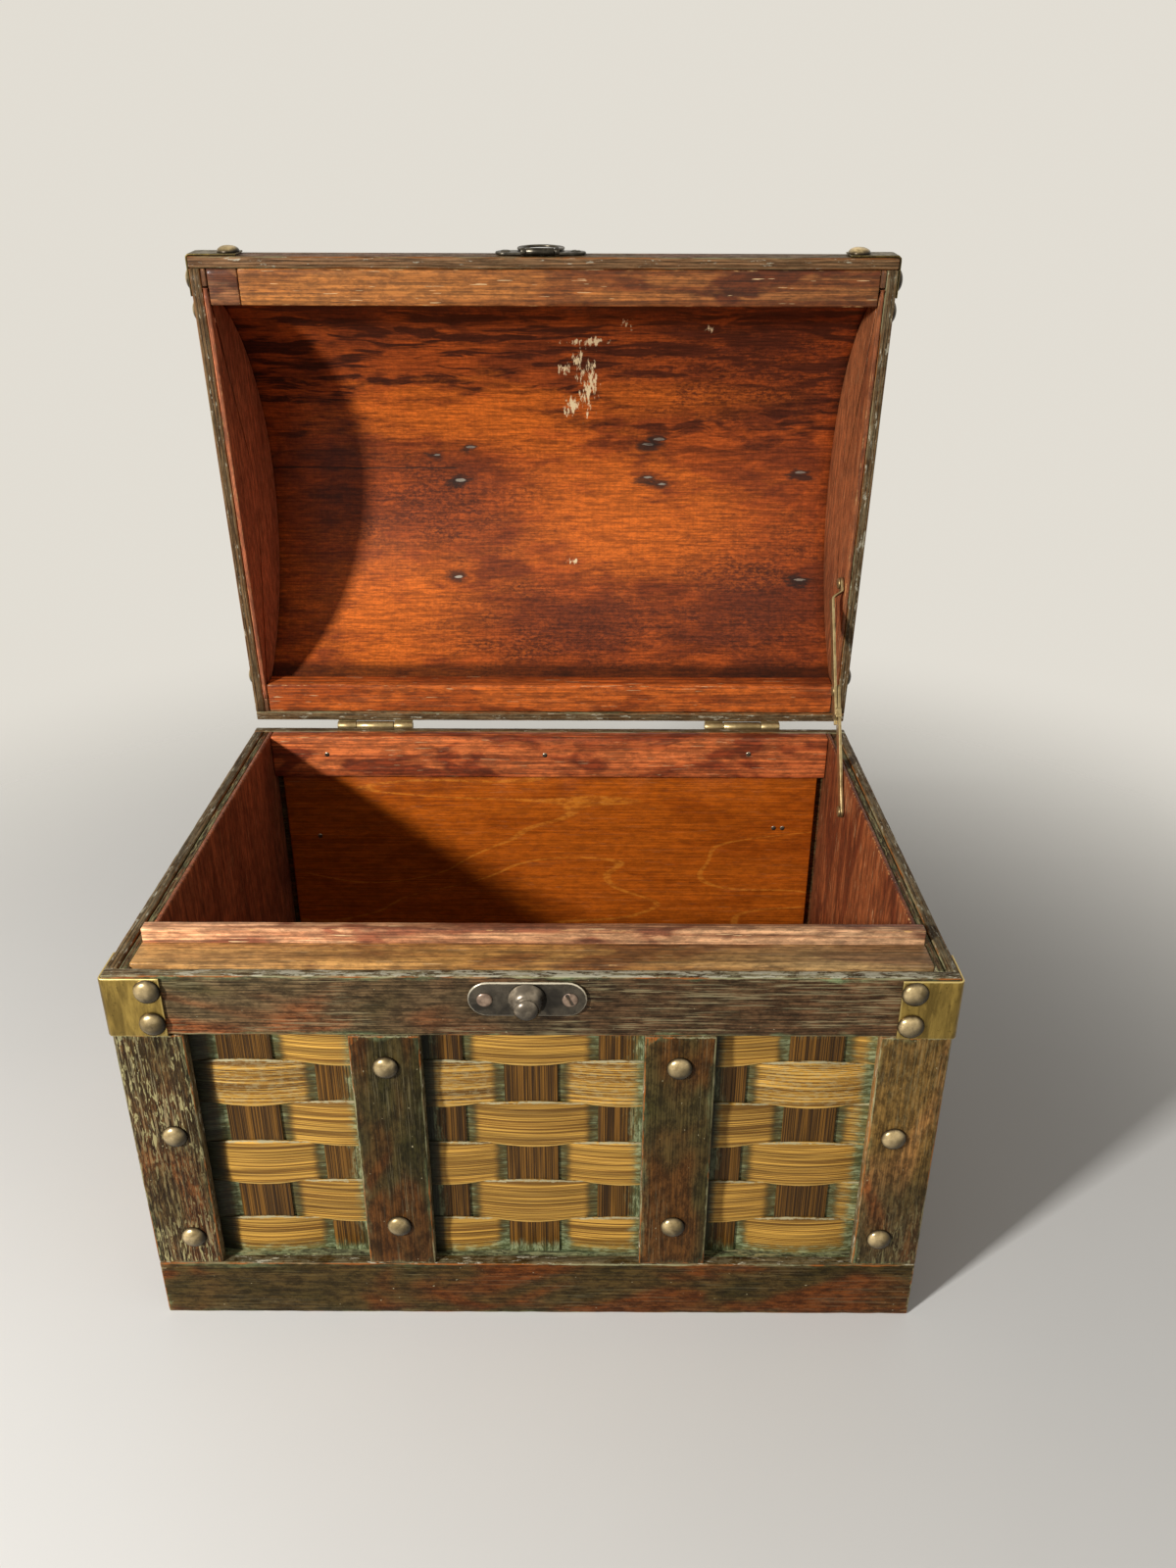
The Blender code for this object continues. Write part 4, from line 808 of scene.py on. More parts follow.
for seed, (node, (tone, look, paint)) in enumerate(outerStrips.items()):
    side, kind = node.split("_")[:2]
    axis, low, high, outward = faceOf[side]
    sideTop = node in ("left_rail_top", "right_rail_top")
    lowest, highest = nodeBox(node)
    lowest[axis], highest[axis] = low, high
    grain = 2 if kind == "stile" else 1 - axis
    parts = [board(lowest, highest, grain, axis, tone=tone, look=look, seed=seed + 10)]
    if kind == "stile" or sideTop:
        parts += nailsOn(node, outward)
    if node == "front_rail_bottom":
        # Dirt and glaze packed between this rail and the mat.
        start = (lowest[0] + packedDirt["inset"], high - packedDirt["back"], packedDirt["low"])
        end = (highest[0] - packedDirt["inset"], high + packedDirt["front"], packedDirt["high"])
        parts += [board(start, end, 0, 2, tone=(0.2, 0.2, 0.1), look=(0, 0.9, 0.9), seed=31, warp=0.5 * mm)]
    if sideTop:
        # The side's own board, whose upper edge shows between this rail and the lining.
        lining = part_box("side_lining_" + side)
        inner = (lining[1][0], low) if side == "right" else (high, lining[0][0])
        start = (inner[0] + sideBoard["gap"], lowest[1], sideBoard["low"])
        end = (inner[1] - sideBoard["gap"], highest[1], highest[2] - sideBoard["below"])
        parts += [board(start, end, 1, 2, tone=(0.085, 0.048, 0.02), look=(0.5, 0.8, 0.8), seed=33 + axis)]
    buildPiece(node, parts, [paint, nailBrass], "chest")
print("outer strips made")

# Boards inside and under: grain axis, thin axis, tone, then figure, chips and dust.
innerBoards = {
    "front_batten": (
        0,
        2,
        graded(
            0, (-110, (0.49, 0.25, 0.075)), (-20, (0.4, 0.19, 0.045)), (50, (0.36, 0.18, 0.05)),
            (110, (0.38, 0.225, 0.085)),
        ),
        graded(0, (-110, (0.4, 0.6, 0.15)), (20, (0.8, 0.6, 0.2)), (110, (0.6, 0.6, 0.5))),
    ),
    "front_board": (
        0,
        1,
        graded(
            0, (-110, (0.82, 0.42, 0.205)), (0, (0.52, 0.26, 0.12)), (60, (0.52, 0.265, 0.125)),
            (120, (0.56, 0.31, 0.155)),
        ),
        (1.1, 1.3, 0.2),
    ),
    "rear_batten": (0, 1, (0.56, 0.135, 0.032), (0.95, 0.6, 0.15)),
    "back_lining": (0, 1, (0.41, 0.088, 0.006), (0.3, 0.1, 0.06)),
    "side_lining_left": (2, 0, (0.33, 0.095, 0.034), (0.5, 0.6, 0.06)),
    "side_lining_right": (2, 0, (0.27, 0.074, 0.021), (0.9, 0.9, 0.1)),
    "bottom_board": (0, 2, (0.2, 0.05, 0.012), (0.35, 0.15, 0.25)),
}
smallNail = np.array([(0, 0.3), (0.9, 0.26), (1.3, 0.12), (1.4, 0), (1.4, -0.3), (0, -0.3)]) * mm
# Places of the small nails: along x, and down from the board's top.
smallNails = {
    "rear_batten": [(-0.1236, 0.0105), (-0.0026, 0.0105), (0.1105, 0.0095)],
    "back_lining": [(0.1285, 0.034), (0.1335, 0.034), (-0.1335, 0.04)],
}
for seed, (node, (grain, thin, tone, look)) in enumerate(innerBoards.items()):
    lowest, highest = nodeBox(node)
    parts = [board(lowest, highest, grain, thin, tone=tone, look=look, seed=seed + 40)]
    for x, down in smallNails.get(node, ()):
        place = (x, lowest[1], highest[2] - down)
        parts.append(turnedPart(smallNail, place, (0, -1, 0), 14, dent=0.05 * mm, slot=1))
    buildPiece(node, parts, [smoothVarnish if node == "back_lining" else varnish, bronze], "chest")
backTone, backLook = (0.085, 0.05, 0.02), (0.6, 0.2, 0.2)
part = board(*nodeBox("back_board"), 0, 1, tone=backTone, look=backLook, seed=50, wideSteps=12)
buildPiece("back_board", [part], [smoothStain], "chest")

# Lid rails and battens, shaped shut: thin axis, tone, then the looks and the paint.
lidStrips = {
    "lid_front_rail": (1, (0.14, 0.07, 0.03), (0.25, 0.15, 0.06), roughStain),
    "lid_rear_rail": (1, (0.095, 0.052, 0.021), (0.55, 0.25, 0.22), roughStain),
    "lid_front_batten": (
        2,
        graded(0, (-60, (0.36, 0.126, 0.026)), (20, (0.34, 0.112, 0.024)), (110, (0.25, 0.086, 0.022))),
        graded(0, (-40, (0.3, 0.9, 0.04)), (110, (1.3, 1.2, 0.06))),
        varnish,
    ),
    "lid_rear_batten": (2, (0.5, 0.105, 0.012), (0.5, 0.8, 0.12), varnish),
}
lidBlocks = {
    "leftEnd": -143 * mm, "battenStart": -142.7 * mm, "near": 157.4 * mm, "far": 159.9 * mm,
    "reach": 107.4 * mm, "low": 181.7 * mm,
}
for seed, (node, (thin, tone, look, paint)) in enumerate(lidStrips.items()):
    lowest, highest = nodeBox(node, shut=True)
    parts = []
    if node == "lid_front_batten":
        # A short block fills the left corner, and the batten starts beside it.
        blockEnd = (lidBlocks["leftEnd"], *highest[1:])
        parts = [board(lowest, blockEnd, 0, thin, tone=(0.24, 0.095, 0.035), look=(0.9, 1, 0.12), seed=68)]
        lowest[0] = lidBlocks["battenStart"]
    parts.append(board(lowest, highest, 0, thin, tone=tone, look=look, seed=seed + 60))
    if thin == 2:
        # Small blocks fill the corners between the batten and the end boards.
        inward = -1 if highest[1] > 0 else 1
        ends = sorted((lowest[1] if inward > 0 else highest[1], -inward * lidBlocks["reach"]))
        for low, high in ((-lidBlocks["far"], -lidBlocks["near"]), (lidBlocks["near"], lidBlocks["far"])):
            corner = ((low, ends[0], lidBlocks["low"]), (high, ends[1], highest[2]))
            parts.append(board(*corner, 1, 2, tone=(0.14, 0.055, 0.02), look=(0.5, 1, 0.3), seed=74))
    buildPiece(node, parts, [paint], "lid", onLid=True)
print("boards made")

dome = {
    "radius": 125.95 * mm, "belowHinge": 37 * mm, "bandThickness": 4 * mm, "bandSpread": 1.1149,
    "skinThickness": 3.7 * mm,
}
domeMiddle = hingeZ - dome["belowHinge"]


def domePath(radius, spread):
    # Points and outward ways on an arc across the lid, at x = 0.
    turn = np.linspace(-spread, spread, 73)
    ways = np.stack((0 * turn, np.sin(turn), np.cos(turn)), axis=1)
    return ways * radius + (0, 0, domeMiddle), ways


lowest, highest = nodeBox("dome_skin", shut=True)
skinRadius = highest[2] - domeMiddle - dome["skinThickness"] / 2
path, ways = domePath(skinRadius, acos((lowest[2] - domeMiddle) / skinRadius) - 0.01)
skin = sweptStrip(
    path, ways, (1, 0, 0), highest[0] - lowest[0], dome["skinThickness"], grainAcross=True, wideSteps=40,
    spacing=3.5 * mm, warp=0.4 * mm, offset=(0, 0, 0), seed=70,
)
buildPiece("dome_skin", [skin], [domeVarnish], "lid", onLid=True)

bands = {
    "dome_band_left": ((0.08, 0.048, 0.019), (0.35, 0.35, 0.3)),
    "dome_band_mid_left": ((0.055, 0.035, 0.011), (0.45, 0.1, 0.3)),
    "dome_band_mid_right": ((0.055, 0.035, 0.011), (0.45, 0.1, 0.3)),
    "dome_band_right": ((0.085, 0.048, 0.017), (0.45, 0.3, 0.3)),
}
for seed, (node, (tone, look)) in enumerate(bands.items()):
    points = nodePoints(node, shut=True)
    left, right = points[:, 0].min(), points[:, 0].max()
    path, ways = domePath(dome["radius"] - dome["bandThickness"] / 2, dome["bandSpread"])
    path = path + ((left + right) / 2, 0, 0)
    size = right - left, dome["bandThickness"]
    strip = sweptStrip(path, ways, (1, 0, 0), *size, tone=tone, look=look, seed=seed + 80)
    tops = topsOf(points, np.linalg.norm(points[:, 1:] - (0, domeMiddle), axis=1))
    facing = (tops - (0, 0, domeMiddle)) * (0, 1, 1)
    facing /= np.linalg.norm(facing, axis=1)[:, None]
    buildPiece(node, [strip, *nailsAt(zip(tops, facing))], [roughStain, nailBrass], "lid", onLid=True)


def archOutline(radius, halfChord, low):
    # A flat chord at low, and the dome's arc over it, as y and z.
    spread = asin(halfChord / radius)
    arc = arcPoints((0, domeMiddle), radius, pi / 2 - spread, pi / 2 + spread, 60)
    chord = np.linspace(-halfChord, halfChord, 41)
    rise = np.linspace(low, arc[0, 1], max(1, int((arc[0, 1] - low) / (3 * mm))) + 1)[1:-1]
    right = np.stack((0 * rise + halfChord, rise), axis=1)
    return np.concatenate((np.stack((chord, 0 * chord + low), axis=1), right, arc, right[::-1] * (-1, 1)))


# Both ends of the lid: an outer stained board and an inner varnished one.
lidEnds = {
    "lid_end_left": ((0.085, 0.045, 0.018), (0.5, 0.2, 0.12), roughStain),
    "lid_end_right": ((0.09, 0.05, 0.021), (0.5, 0.2, 0.24), roughStain),
    "lid_lining_left": ((0.46, 0.14, 0.056), (0.3, 0.5, 0.12), varnish),
    "lid_lining_right": ((0.31, 0.095, 0.03), (0.4, 0.6, 0.2), varnish),
}
lidEnd = {"outer": 5 * mm, "lining": 2.2 * mm, "arris": 0.6 * mm, "under": 0.25 * mm}
for seed, (node, (tone, look, paint)) in enumerate(lidEnds.items()):
    lowest, highest = nodeBox(node, shut=True)
    side = -1 if node.endswith("left") else 1
    outer = "end" in node
    thickness = lidEnd["outer" if outer else "lining"]
    middle = ((highest[0] if side < 0 else lowest[0]) + side * thickness / 2, 0, 0)
    radius = highest[2] - domeMiddle - lidEnd["under"]
    halfChord = highest[1] if outer else radius * sin(acos((lowest[2] - domeMiddle) / radius))
    outline = archOutline(radius, halfChord, lowest[2])
    ways = (0, 1, 0), (0, 0, 1), (1, 0, 0)
    parts = [platePart(outline, thickness, lidEnd["arris"], middle, *ways, seed=seed + 90, tone=tone, look=look)]
    if outer:
        parts += nailsOn(node, (side, 0, 0), shut=True)
    buildPiece(node, parts, [paint, nailBrass], "lid", onLid=True)
print("lid boards made")

mats = {
    "low": 27 * mm, "rows": 6, "top": 2 * mm, "frontDepth": 3.45 * mm, "frontCrown": 1.6 * mm,
    "uprightWidth": 22 * mm, "uprightPitch": 38.5 * mm, "frontShift": -0.034,
    "glazeTop": 158 * mm, "uprightThickness": 1 * mm, "weaverThickness": 0.9 * mm,
    "weaverGap": 0.35 * mm, "touchLevel": 0.9 * mm, "looseLevel": 1 * mm, "diveShare": 0.7,
    "barrel": 0.16, "weaverStep": 1.6 * mm, "uprightStep": 2 * mm, "drift": 0.25 * mm,
    "ragged": 0.012, "bow": 0.12 * mm, "swell": 0.8, "frameFade": 5 * mm,
    "glazeBefore": -8 * mm, "glazeFade": 1.6 * mm,
}


def weaverLevel(along, phase, row, crown):
    # How far each place is from the nearest crossing where this weaver passes before an
    # upright, as a share of the pitch. Its level falls from the crown there on a cosine
    # to the power of 1.2, and stays at minus the loose level behind the next upright.
    # Returns the level, that share of the rise, and the share of the pitch.
    away = np.abs(np.mod(along / mats["uprightPitch"] - phase + row, 2) - 1)
    rise = np.maximum(np.cos(pi / 2 * np.clip(away / mats["diveShare"], 0, 1)), 0) ** 1.2
    return (crown + mats["looseLevel"]) * rise - mats["looseLevel"], rise, away


def plaitedMat(
    ends, low, rows, pitch, crown, phase, borders, levels, seed, lay, tail=2 * mm, spacing=1.6 * mm, dark=(),
):
    # Weavers along x, one for each row, over uprights along z. Borders and levels are
    # where the frame's edges lie. lay carries the finished points to their place.
    start, end = ends
    parts = []
    shape = {
        "radius": 0.3 * mm, "spacing": spacing, "wideSteps": 7, "thinSteps": 1, "cornerSteps": 3, "wear": 0.12 * mm,
        "wearLength": 3 * mm,
    }

    def marks(points, dip, vary):
        gaps = [np.abs(points[..., 0] - border) for border in borders]
        gaps += [np.abs(points[..., 2] - level) for level in levels]
        nearFrame = np.exp(-np.min(gaps, axis=0) / mats["frameFade"])
        return np.stack((np.clip(dip, 0, 1), nearFrame, vary + 0 * dip), axis=-1)

    def ragged(place, row):
        return mats["ragged"] * unevenness(place / (25 * mm) + 20, seed + row)

    def varied(place, table):
        return 0.45 + 0.45 * unevenness(np.array([place]), table)[0]

    for row in range(rows):
        x = np.arange(start, end, mats["weaverStep"])
        level, rise, away = weaverLevel(x, phase, row, crown)
        drift = mats["drift"] * unevenness(x / (40 * mm) + 50, seed + row)
        path = np.stack((x, -level, low + (row + 0.5) * pitch + drift), axis=1)
        vary = 1 if dark and row == rows - 2 else varied(row * 3.7 + seed, 5)
        width = 1 + mats["barrel"] * np.cos(pi * away) * (away < 0.5) + 0.3 * np.clip(away - 0.5, 0, 0.3)
        swell = max(crown - mats["touchLevel"], 0) * mats["swell"]
        part = sweptStrip(
            path, (0, -1, 0), (0, 0, 1), pitch - mats["weaverGap"], mats["weaverThickness"], seed=seed + row,
            bow=lambda place: mats["bow"] + swell * np.interp(place, x - start, rise),
            widthAt=lambda place: np.interp(place, x - start, width) + ragged(place, row),
            # The dip mark rises where the weaver turns behind an upright; the splint paints shade there.
            look=lambda points: marks(points, np.interp(points[..., 0], x, eased(away, 0.5, 0.72)), vary),
            **shape,
        )
        part["through"] = (part["points"][:, 2:3] - low - row * pitch) / pitch
        parts.append(part)

    half = mats["uprightWidth"] / 2
    for crossing in np.arange(-9, 10):
        middle = (crossing + phase) * mats["uprightPitch"]
        if middle - half < start or middle + half > end:
            continue
        z = np.arange(low - tail, low + rows * pitch + tail, mats["uprightStep"])
        path = np.stack((0 * z + middle, 0 * z, z), axis=1)
        vary = varied(crossing * 2.3 + seed + 80, 9)

        def look(points):
            # Painted shade on the upright towards each row's edges, where it goes behind a weaver.
            between = np.abs(np.mod((points[..., 2] - low) / pitch, 1) - 0.5)
            return marks(points, 0.1 + 0.5 * eased(between, 0.36, 0.5), vary)

        size = 2 * half, mats["uprightThickness"]
        part = sweptStrip(
            path, (0, -1, 0), (1, 0, 0), *size, look=look, seed=seed + 30 + crossing, slot=1, **shape,
        )
        part["through"] = 0 * part["through"] + 0.5
        parts.append(part)
    for part in parts:
        points = part["points"]
        if dark:
            # Painted black shadow fills the first millimetres right of a strip, up to the top rail.
            shares = []
            for place, wide in dark.items():
                gap = points[:, 0] - place
                faded = 1 - eased(gap, wide, wide + mats["glazeFade"])
                shares.append((gap > mats["glazeBefore"]) * faded)
            part["narrow"] = (np.max(shares, axis=0) * (points[:, 2] < mats["glazeTop"]))[:, None]
        else:
            part["narrow"] = 0 * part["narrow"]
        part["points"] = lay(points)
    return parts


lowest, highest = nodeBox("front_weave")
rows = mats["low"], mats["rows"], (highest[2] - mats["top"] - mats["low"]) / mats["rows"]
frameLevels = (30 * mm, 153 * mm)
frontBorders = np.array([-137, -72.75, -44.25, 44.25, 72.75, 137]) * mm
# Where the painted black shadow starts, and how wide it is there.
paintedShadowCorners = {-137 * mm: 4.6 * mm, -44.25 * mm: 3.0 * mm, 72.75 * mm: 2.2 * mm}
frontMiddle = lowest[1] + mats["frontDepth"]
parts = plaitedMat(
    (lowest[0], highest[0]), *rows, mats["frontCrown"], mats["frontShift"], frontBorders, frameLevels, 200,
    lambda points: points + (0, frontMiddle, 0), dark=paintedShadowCorners,
)
buildPiece("front_weave", parts, splints, "chest")

sideBorders = np.array([-92.5, -14, 14, 92.5]) * mm
for side, node in ((-1, "left_weave"), (1, "right_weave")):
    lowest, highest = nodeBox(node)
    middleX = (lowest[0] + highest[0]) / 2
    ends = sorted((side * lowest[1], side * highest[1]))
    lay = lambda points: points[..., [1, 0, 2]] * (-side, side, 1) + (middleX, 0, 0)
    parts = plaitedMat(ends, *rows, mats["touchLevel"], 0.5, sideBorders, frameLevels, 300 + side * 50, lay)
    buildPiece(node, parts, splints, "chest")

lowest, highest = nodeBox("dome_weave", shut=True)
domeMat = {"middle": 120.1 * mm, "angle": 1.1283, "rows": 13, "tail": -0.5 * mm, "spacing": 2 * mm}
domePitch = 2 * domeMat["angle"] * domeMat["middle"] / domeMat["rows"]


def bendMat(points):
    # The mat's upward places become angles round the dome, and its depth the radius.
    turn = points[..., 2] / domeMat["middle"] - domeMat["angle"]
    radius = domeMat["middle"] - points[..., 1]
    return np.stack((points[..., 0], radius * np.sin(turn), domeMiddle + radius * np.cos(turn)), axis=-1)


parts = plaitedMat(
    (lowest[0], highest[0]), 0, domeMat["rows"], domePitch, mats["touchLevel"], 0, frontBorders,
    (0, domeMat["rows"] * domePitch), 400, bendMat, domeMat["tail"], domeMat["spacing"],
)
buildPiece("dome_weave", parts, splints, "lid", onLid=True)
print("plaited mats made")

plates = {
    "thickness": 0.8 * mm, "bend": 1.4 * mm, "frontEnd": 142.5 * mm, "sideX": 165.7 * mm,
    "frontY": -121.2 * mm, "arris": 0.25 * mm, "wear": 0.1 * mm,
}


def cornerPlate(node, side, body, shut):
    # An upright strip of sheet carried along an L: the front leg, a quarter circle
    # round the corner, and the side leg.
    lowest, highest = nodeBox(node, shut)
    bend, sideX, frontY = plates["bend"], plates["sideX"], plates["frontY"]
    arc = arcPoints((sideX - bend, frontY + bend), bend, -pi / 2, 0, 8)
    flat = np.concatenate(([(plates["frontEnd"], frontY)], arc, [(sideX, highest[1])]))
    path = np.stack((side * flat[:, 0], flat[:, 1], 0 * flat[:, 0] + (lowest[2] + highest[2]) / 2), axis=1)
    turns = np.linspace(0, pi / 2, 9)
    ways = np.stack((side * np.sin(turns), -np.cos(turns), 0 * turns), axis=1)
    ways = np.concatenate((ways[:1], ways, ways[-1:]))
    sheet = sweptStrip(
        path, ways, (0, 0, 1), highest[2] - lowest[2], plates["thickness"], radius=plates["arris"],
        spacing=1.2 * mm, wear=plates["wear"], wideSteps=8, seed=130,
    )
    nails = [*nailsOn(node, (0, -1, 0), shut), *nailsOn(node, (side, 0, 0), shut)]
    buildPiece(node, [sheet, *nails], [lidBrass if shut else plateBrass, nailBrass], body, onLid=shut)


for side, hand in ((-1, "left"), (1, "right")):
    cornerPlate(f"corner_plate_{hand}", side, "chest", False)
    cornerPlate(f"lid_corner_plate_{hand}", side, "lid", True)

lowest, highest = nodeBox("clasp_plate")
clasp = {
    "x": (lowest[0] + highest[0]) / 2, "z": (lowest[2] + highest[2]) / 2, "back": highest[1],
    "thickness": 1.2 * mm, "screws": 16.5 * mm, "slot": (0.5 * mm, 0.85 * mm, -0.8),
}
toFront = (0, -1, 0)
frontWays = (1, 0, 0), (0, 0, 1), toFront
middle = (clasp["x"], clasp["back"] - clasp["thickness"] / 2, clasp["z"])
outline = stadium((highest[0] - lowest[0]) / 2, (highest[2] - lowest[2]) / 2)
parts = [platePart(outline, clasp["thickness"], 0.5 * mm, middle, *frontWays, dent=0.05 * mm)]
screwProfile = mm * np.array([
    (0, 0.8), (0.5, 0.8), (1, 0.8), (1.5, 0.78), (2, 0.74), (2.5, 0.62), (2.9, 0.4), (3.2, 0.05), (3.2, -0.4),
    (0, -0.4),
])
for side, groove in ((-1, None), (1, clasp["slot"])):
    place = (clasp["x"] + side * clasp["screws"], clasp["back"] - clasp["thickness"], clasp["z"])
    parts.append(turnedPart(screwProfile, place, toFront, 48, groove, 0.05 * mm, slot=1))
buildPiece("clasp_plate", parts, [rubbedBronze, screwBronze], "chest")

lowest, highest = nodeBox("clasp_knob")
knobProfile = mm * np.array([
    (0, 9), (1.6, 8.95), (2.9, 8.6), (4, 8), (4.6, 7.3), (4.8, 6.9), (4.6, 6.3), (4, 6), (3.2, 5.8), (3, 5.3),
    (3.2, 4.9), (4.4, 4.6), (5.4, 3.9), (6.2, 2.6), (6.9, 1.2), (7.4, 0.5), (7.5, 0.1), (7.4, 0), (0, 0),
])
place = ((lowest[0] + highest[0]) / 2, highest[1], (lowest[2] + highest[2]) / 2)
buildPiece("clasp_knob", [turnedPart(knobProfile, place, toFront, 40)], [bronze], "chest")


def tube(start, end, centre, outer, bore, sides=28):
    # A short length of rolled sheet about an axis along x, with softened ends.
    soft = 0.2 * mm
    profile = [(bore, start), (outer - soft, start), (outer, start + soft)]
    profile += [(outer, end - soft), (outer - soft, end), (bore, end), (bore, start)]
    return turnedPart(profile, (0, *centre), (1, 0, 0), sides)


def rod(box, centre, radius, sides=20):
    # A pin along x from end to end of a box, with softened ends.
    (start, *_), (end, *_) = box
    soft = 0.25 * mm
    profile = [(0, start), (radius * 0.8, start), (radius, start + soft)]
    profile += [(radius, end - soft), (radius * 0.8, end), (0, end)]
    return turnedPart(profile, (0, *centre), (1, 0, 0), sides)


hinge = {
    "barrel": 2.65 * mm, "pin": 1.1 * mm, "bore": 1.35 * mm, "knuckle": 20.6 * mm,
    "gap": 0.3 * mm, "sheet": 1.2 * mm, "leaf": 12.8 * mm, "corner": 1.2 * mm,
    "setBack": 2.7 * mm, "rise": 3.0 * mm, "wrap": (0.6 * mm, 3.4 * mm),
    "screws": (-15 * mm, 0, 15 * mm), "screwDrop": 1.0 * mm,
}
sunkScrew = np.array([(0, 0.25), (1.4, 0.25), (2.3, 0.2), (2.6, 0.05), (2.6, -0.4), (0, -0.4)]) * mm


def hingeLeaf(node, up, body):
    # A flat leaf with sunk screws, and one knuckle (below) or two (above) round the pin.
    (left, *_), (right, *_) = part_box("hinge_pin_" + node.rsplit("_", 1)[1])
    middle, near = (left + right) / 2, hingeY - hinge["setBack"]
    leafZ = hingeZ + up * (hinge["rise"] + hinge["leaf"] / 2)
    outline = roundedBox(right - left, hinge["leaf"], hinge["corner"])
    ways = (1, 0, 0), (0, 0, 1), (0, 1, 0)
    centre = (middle, near + hinge["sheet"] / 2, leafZ)
    parts = [platePart(outline, hinge["sheet"], 0.3 * mm, centre, *ways, seed=141, dent=0.04 * mm)]
    half = hinge["knuckle"] / 2
    spans = [(middle - half, middle + half)]
    if up > 0:
        spans = [(left, middle - half - hinge["gap"]), (middle + half + hinge["gap"], right)]
    for start, end in spans:
        parts.append(tube(start, end, hingeAxis, hinge["barrel"], hinge["bore"]))
        low, high = sorted(hingeZ + up * level for level in hinge["wrap"])
        ends = (start + 0.1 * mm, near, low), (end - 0.1 * mm, near + hinge["sheet"], high)
        parts.append(board(*ends, 0, 1, radius=0.2 * mm, spacing=8 * mm))
    for number, x in enumerate(hinge["screws"]):
        place = (middle + x, near + hinge["sheet"], leafZ - up * hinge["screwDrop"])
        groove = (0.4 * mm, 0.45 * mm, 0.5 + number)
        parts.append(turnedPart(sunkScrew, place, (0, 1, 0), groove=groove, seed=number))
    buildPiece(node, parts, [paleBrass], body, onLid=up > 0)


for hand in ("left", "right"):
    hingeLeaf(f"hinge_body_leaf_{hand}", -1, "chest")
    hingeLeaf(f"hinge_lid_leaf_{hand}", 1, "lid")
    pin = f"hinge_pin_{hand}"
    buildPiece(pin, [rod(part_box(pin), hingeAxis, hinge["pin"])], [paleBrass], "chest")

stay = {
    "width": 6.5 * mm, "sheet": 1.5 * mm, "arris": 0.3 * mm, "lower": 64 * mm, "tail": 15 * mm,
    "bendStart": 5 * mm, "bendEnd": 8 * mm, "upperX": 151.25 * mm, "lug": (5 * mm, 1.2 * mm),
    "lugBack": 0.35 * mm, "lugOut": 2.5 * mm, "lugRise": 0.9 * mm, "screwGap": 0.3 * mm,
}
foot, head = (np.array(joints[name]["pos_m"]) for name in ("stay_lower_hinge", "stay_upper_hinge"))
along = (head - foot) * (0, 1, 1)
along /= np.linalg.norm(along)
across = np.array((0, -along[2], along[1]))
knee = foot + along * stay["lower"]
reach = np.linalg.norm((head - knee)[1:]) + stay["tail"]
half = stay["width"] / 2


def roundEnds(place):
    # The width near both ends follows a half circle.
    ahead = np.minimum(place, reach + stay["width"] - place)
    return np.sqrt(np.clip(1 - (np.clip(half - ahead, 0, half) / half) ** 2, 0.03, 1))


middle = foot + along * (stay["lower"] / 2)
outline = stadium(stay["lower"] / 2 + half, half)
ways = along, across, (1, 0, 0)
lowerArm = platePart(outline, stay["sheet"], stay["arris"], middle, *ways, seed=151, dent=0.05 * mm)
buildPiece("stay_lower_arm", [lowerArm], [paleBrass], "stay_lower")

# The upper arm runs from its screw inward, through a joggle, and past the knee.
bendStart, bendEnd = stay["bendStart"], stay["bendEnd"]
places = np.array([-half, bendStart, bendStart + 0.8 * mm, bendEnd - 0.8 * mm, bendEnd + 0.6 * mm, reach + half])
sideways = np.interp(places, [bendStart, bendEnd], [head[0], stay["upperX"]])
path = head * (0, 1, 1) - along * places[:, None] + sideways[:, None] * (1, 0, 0)
upperArm = sweptStrip(
    path, (1, 0, 0), across, stay["width"], stay["sheet"], radius=stay["arris"], spacing=1.2 * mm,
    widthAt=roundEnds, wear=0.1 * mm, seed=152,
)
rivet = np.array([(0, 1), (1.3, 0.98), (2.2, 0.8), (2.8, 0.35), (3, 0), (3, -0.3), (0, -0.3)]) * mm
rivetAt = (stay["upperX"] - stay["sheet"] / 2, *knee[1:])
lugEnd = head - along * reach + along * stay["lugOut"] + across * (half + stay["lugRise"])
lugPath = [(x, *lugEnd[1:]) for x in (stay["upperX"] - stay["lugBack"], stay["upperX"] + stay["lugOut"])]
lug = sweptStrip(lugPath, across, along, *stay["lug"], radius=0.25 * mm, spacing=1 * mm)
buildPiece("stay_upper_arm", [upperArm, turnedPart(rivet, rivetAt, (-1, 0, 0)), lug], [paleBrass], "stay_upper")

headScrew = mm * np.array([
    (0, 1), (1.5, 1), (2.4, 0.95), (2.85, 0.65), (3, 0.4), (3, 0), (1.6, 0), (1.6, -2), (0, -2),
])
for node, pivot, body in (("stay_body_pivot", foot, "chest"), ("stay_lid_pivot", head, "lid")):
    place = pivot - (stay["sheet"] / 2 + stay["screwGap"], 0, 0)
    screw = turnedPart(headScrew, place, (-1, 0, 0), groove=(0.5 * mm, 0.5 * mm, 0.9))
    buildPiece(node, [screw], [paleBrass], body)

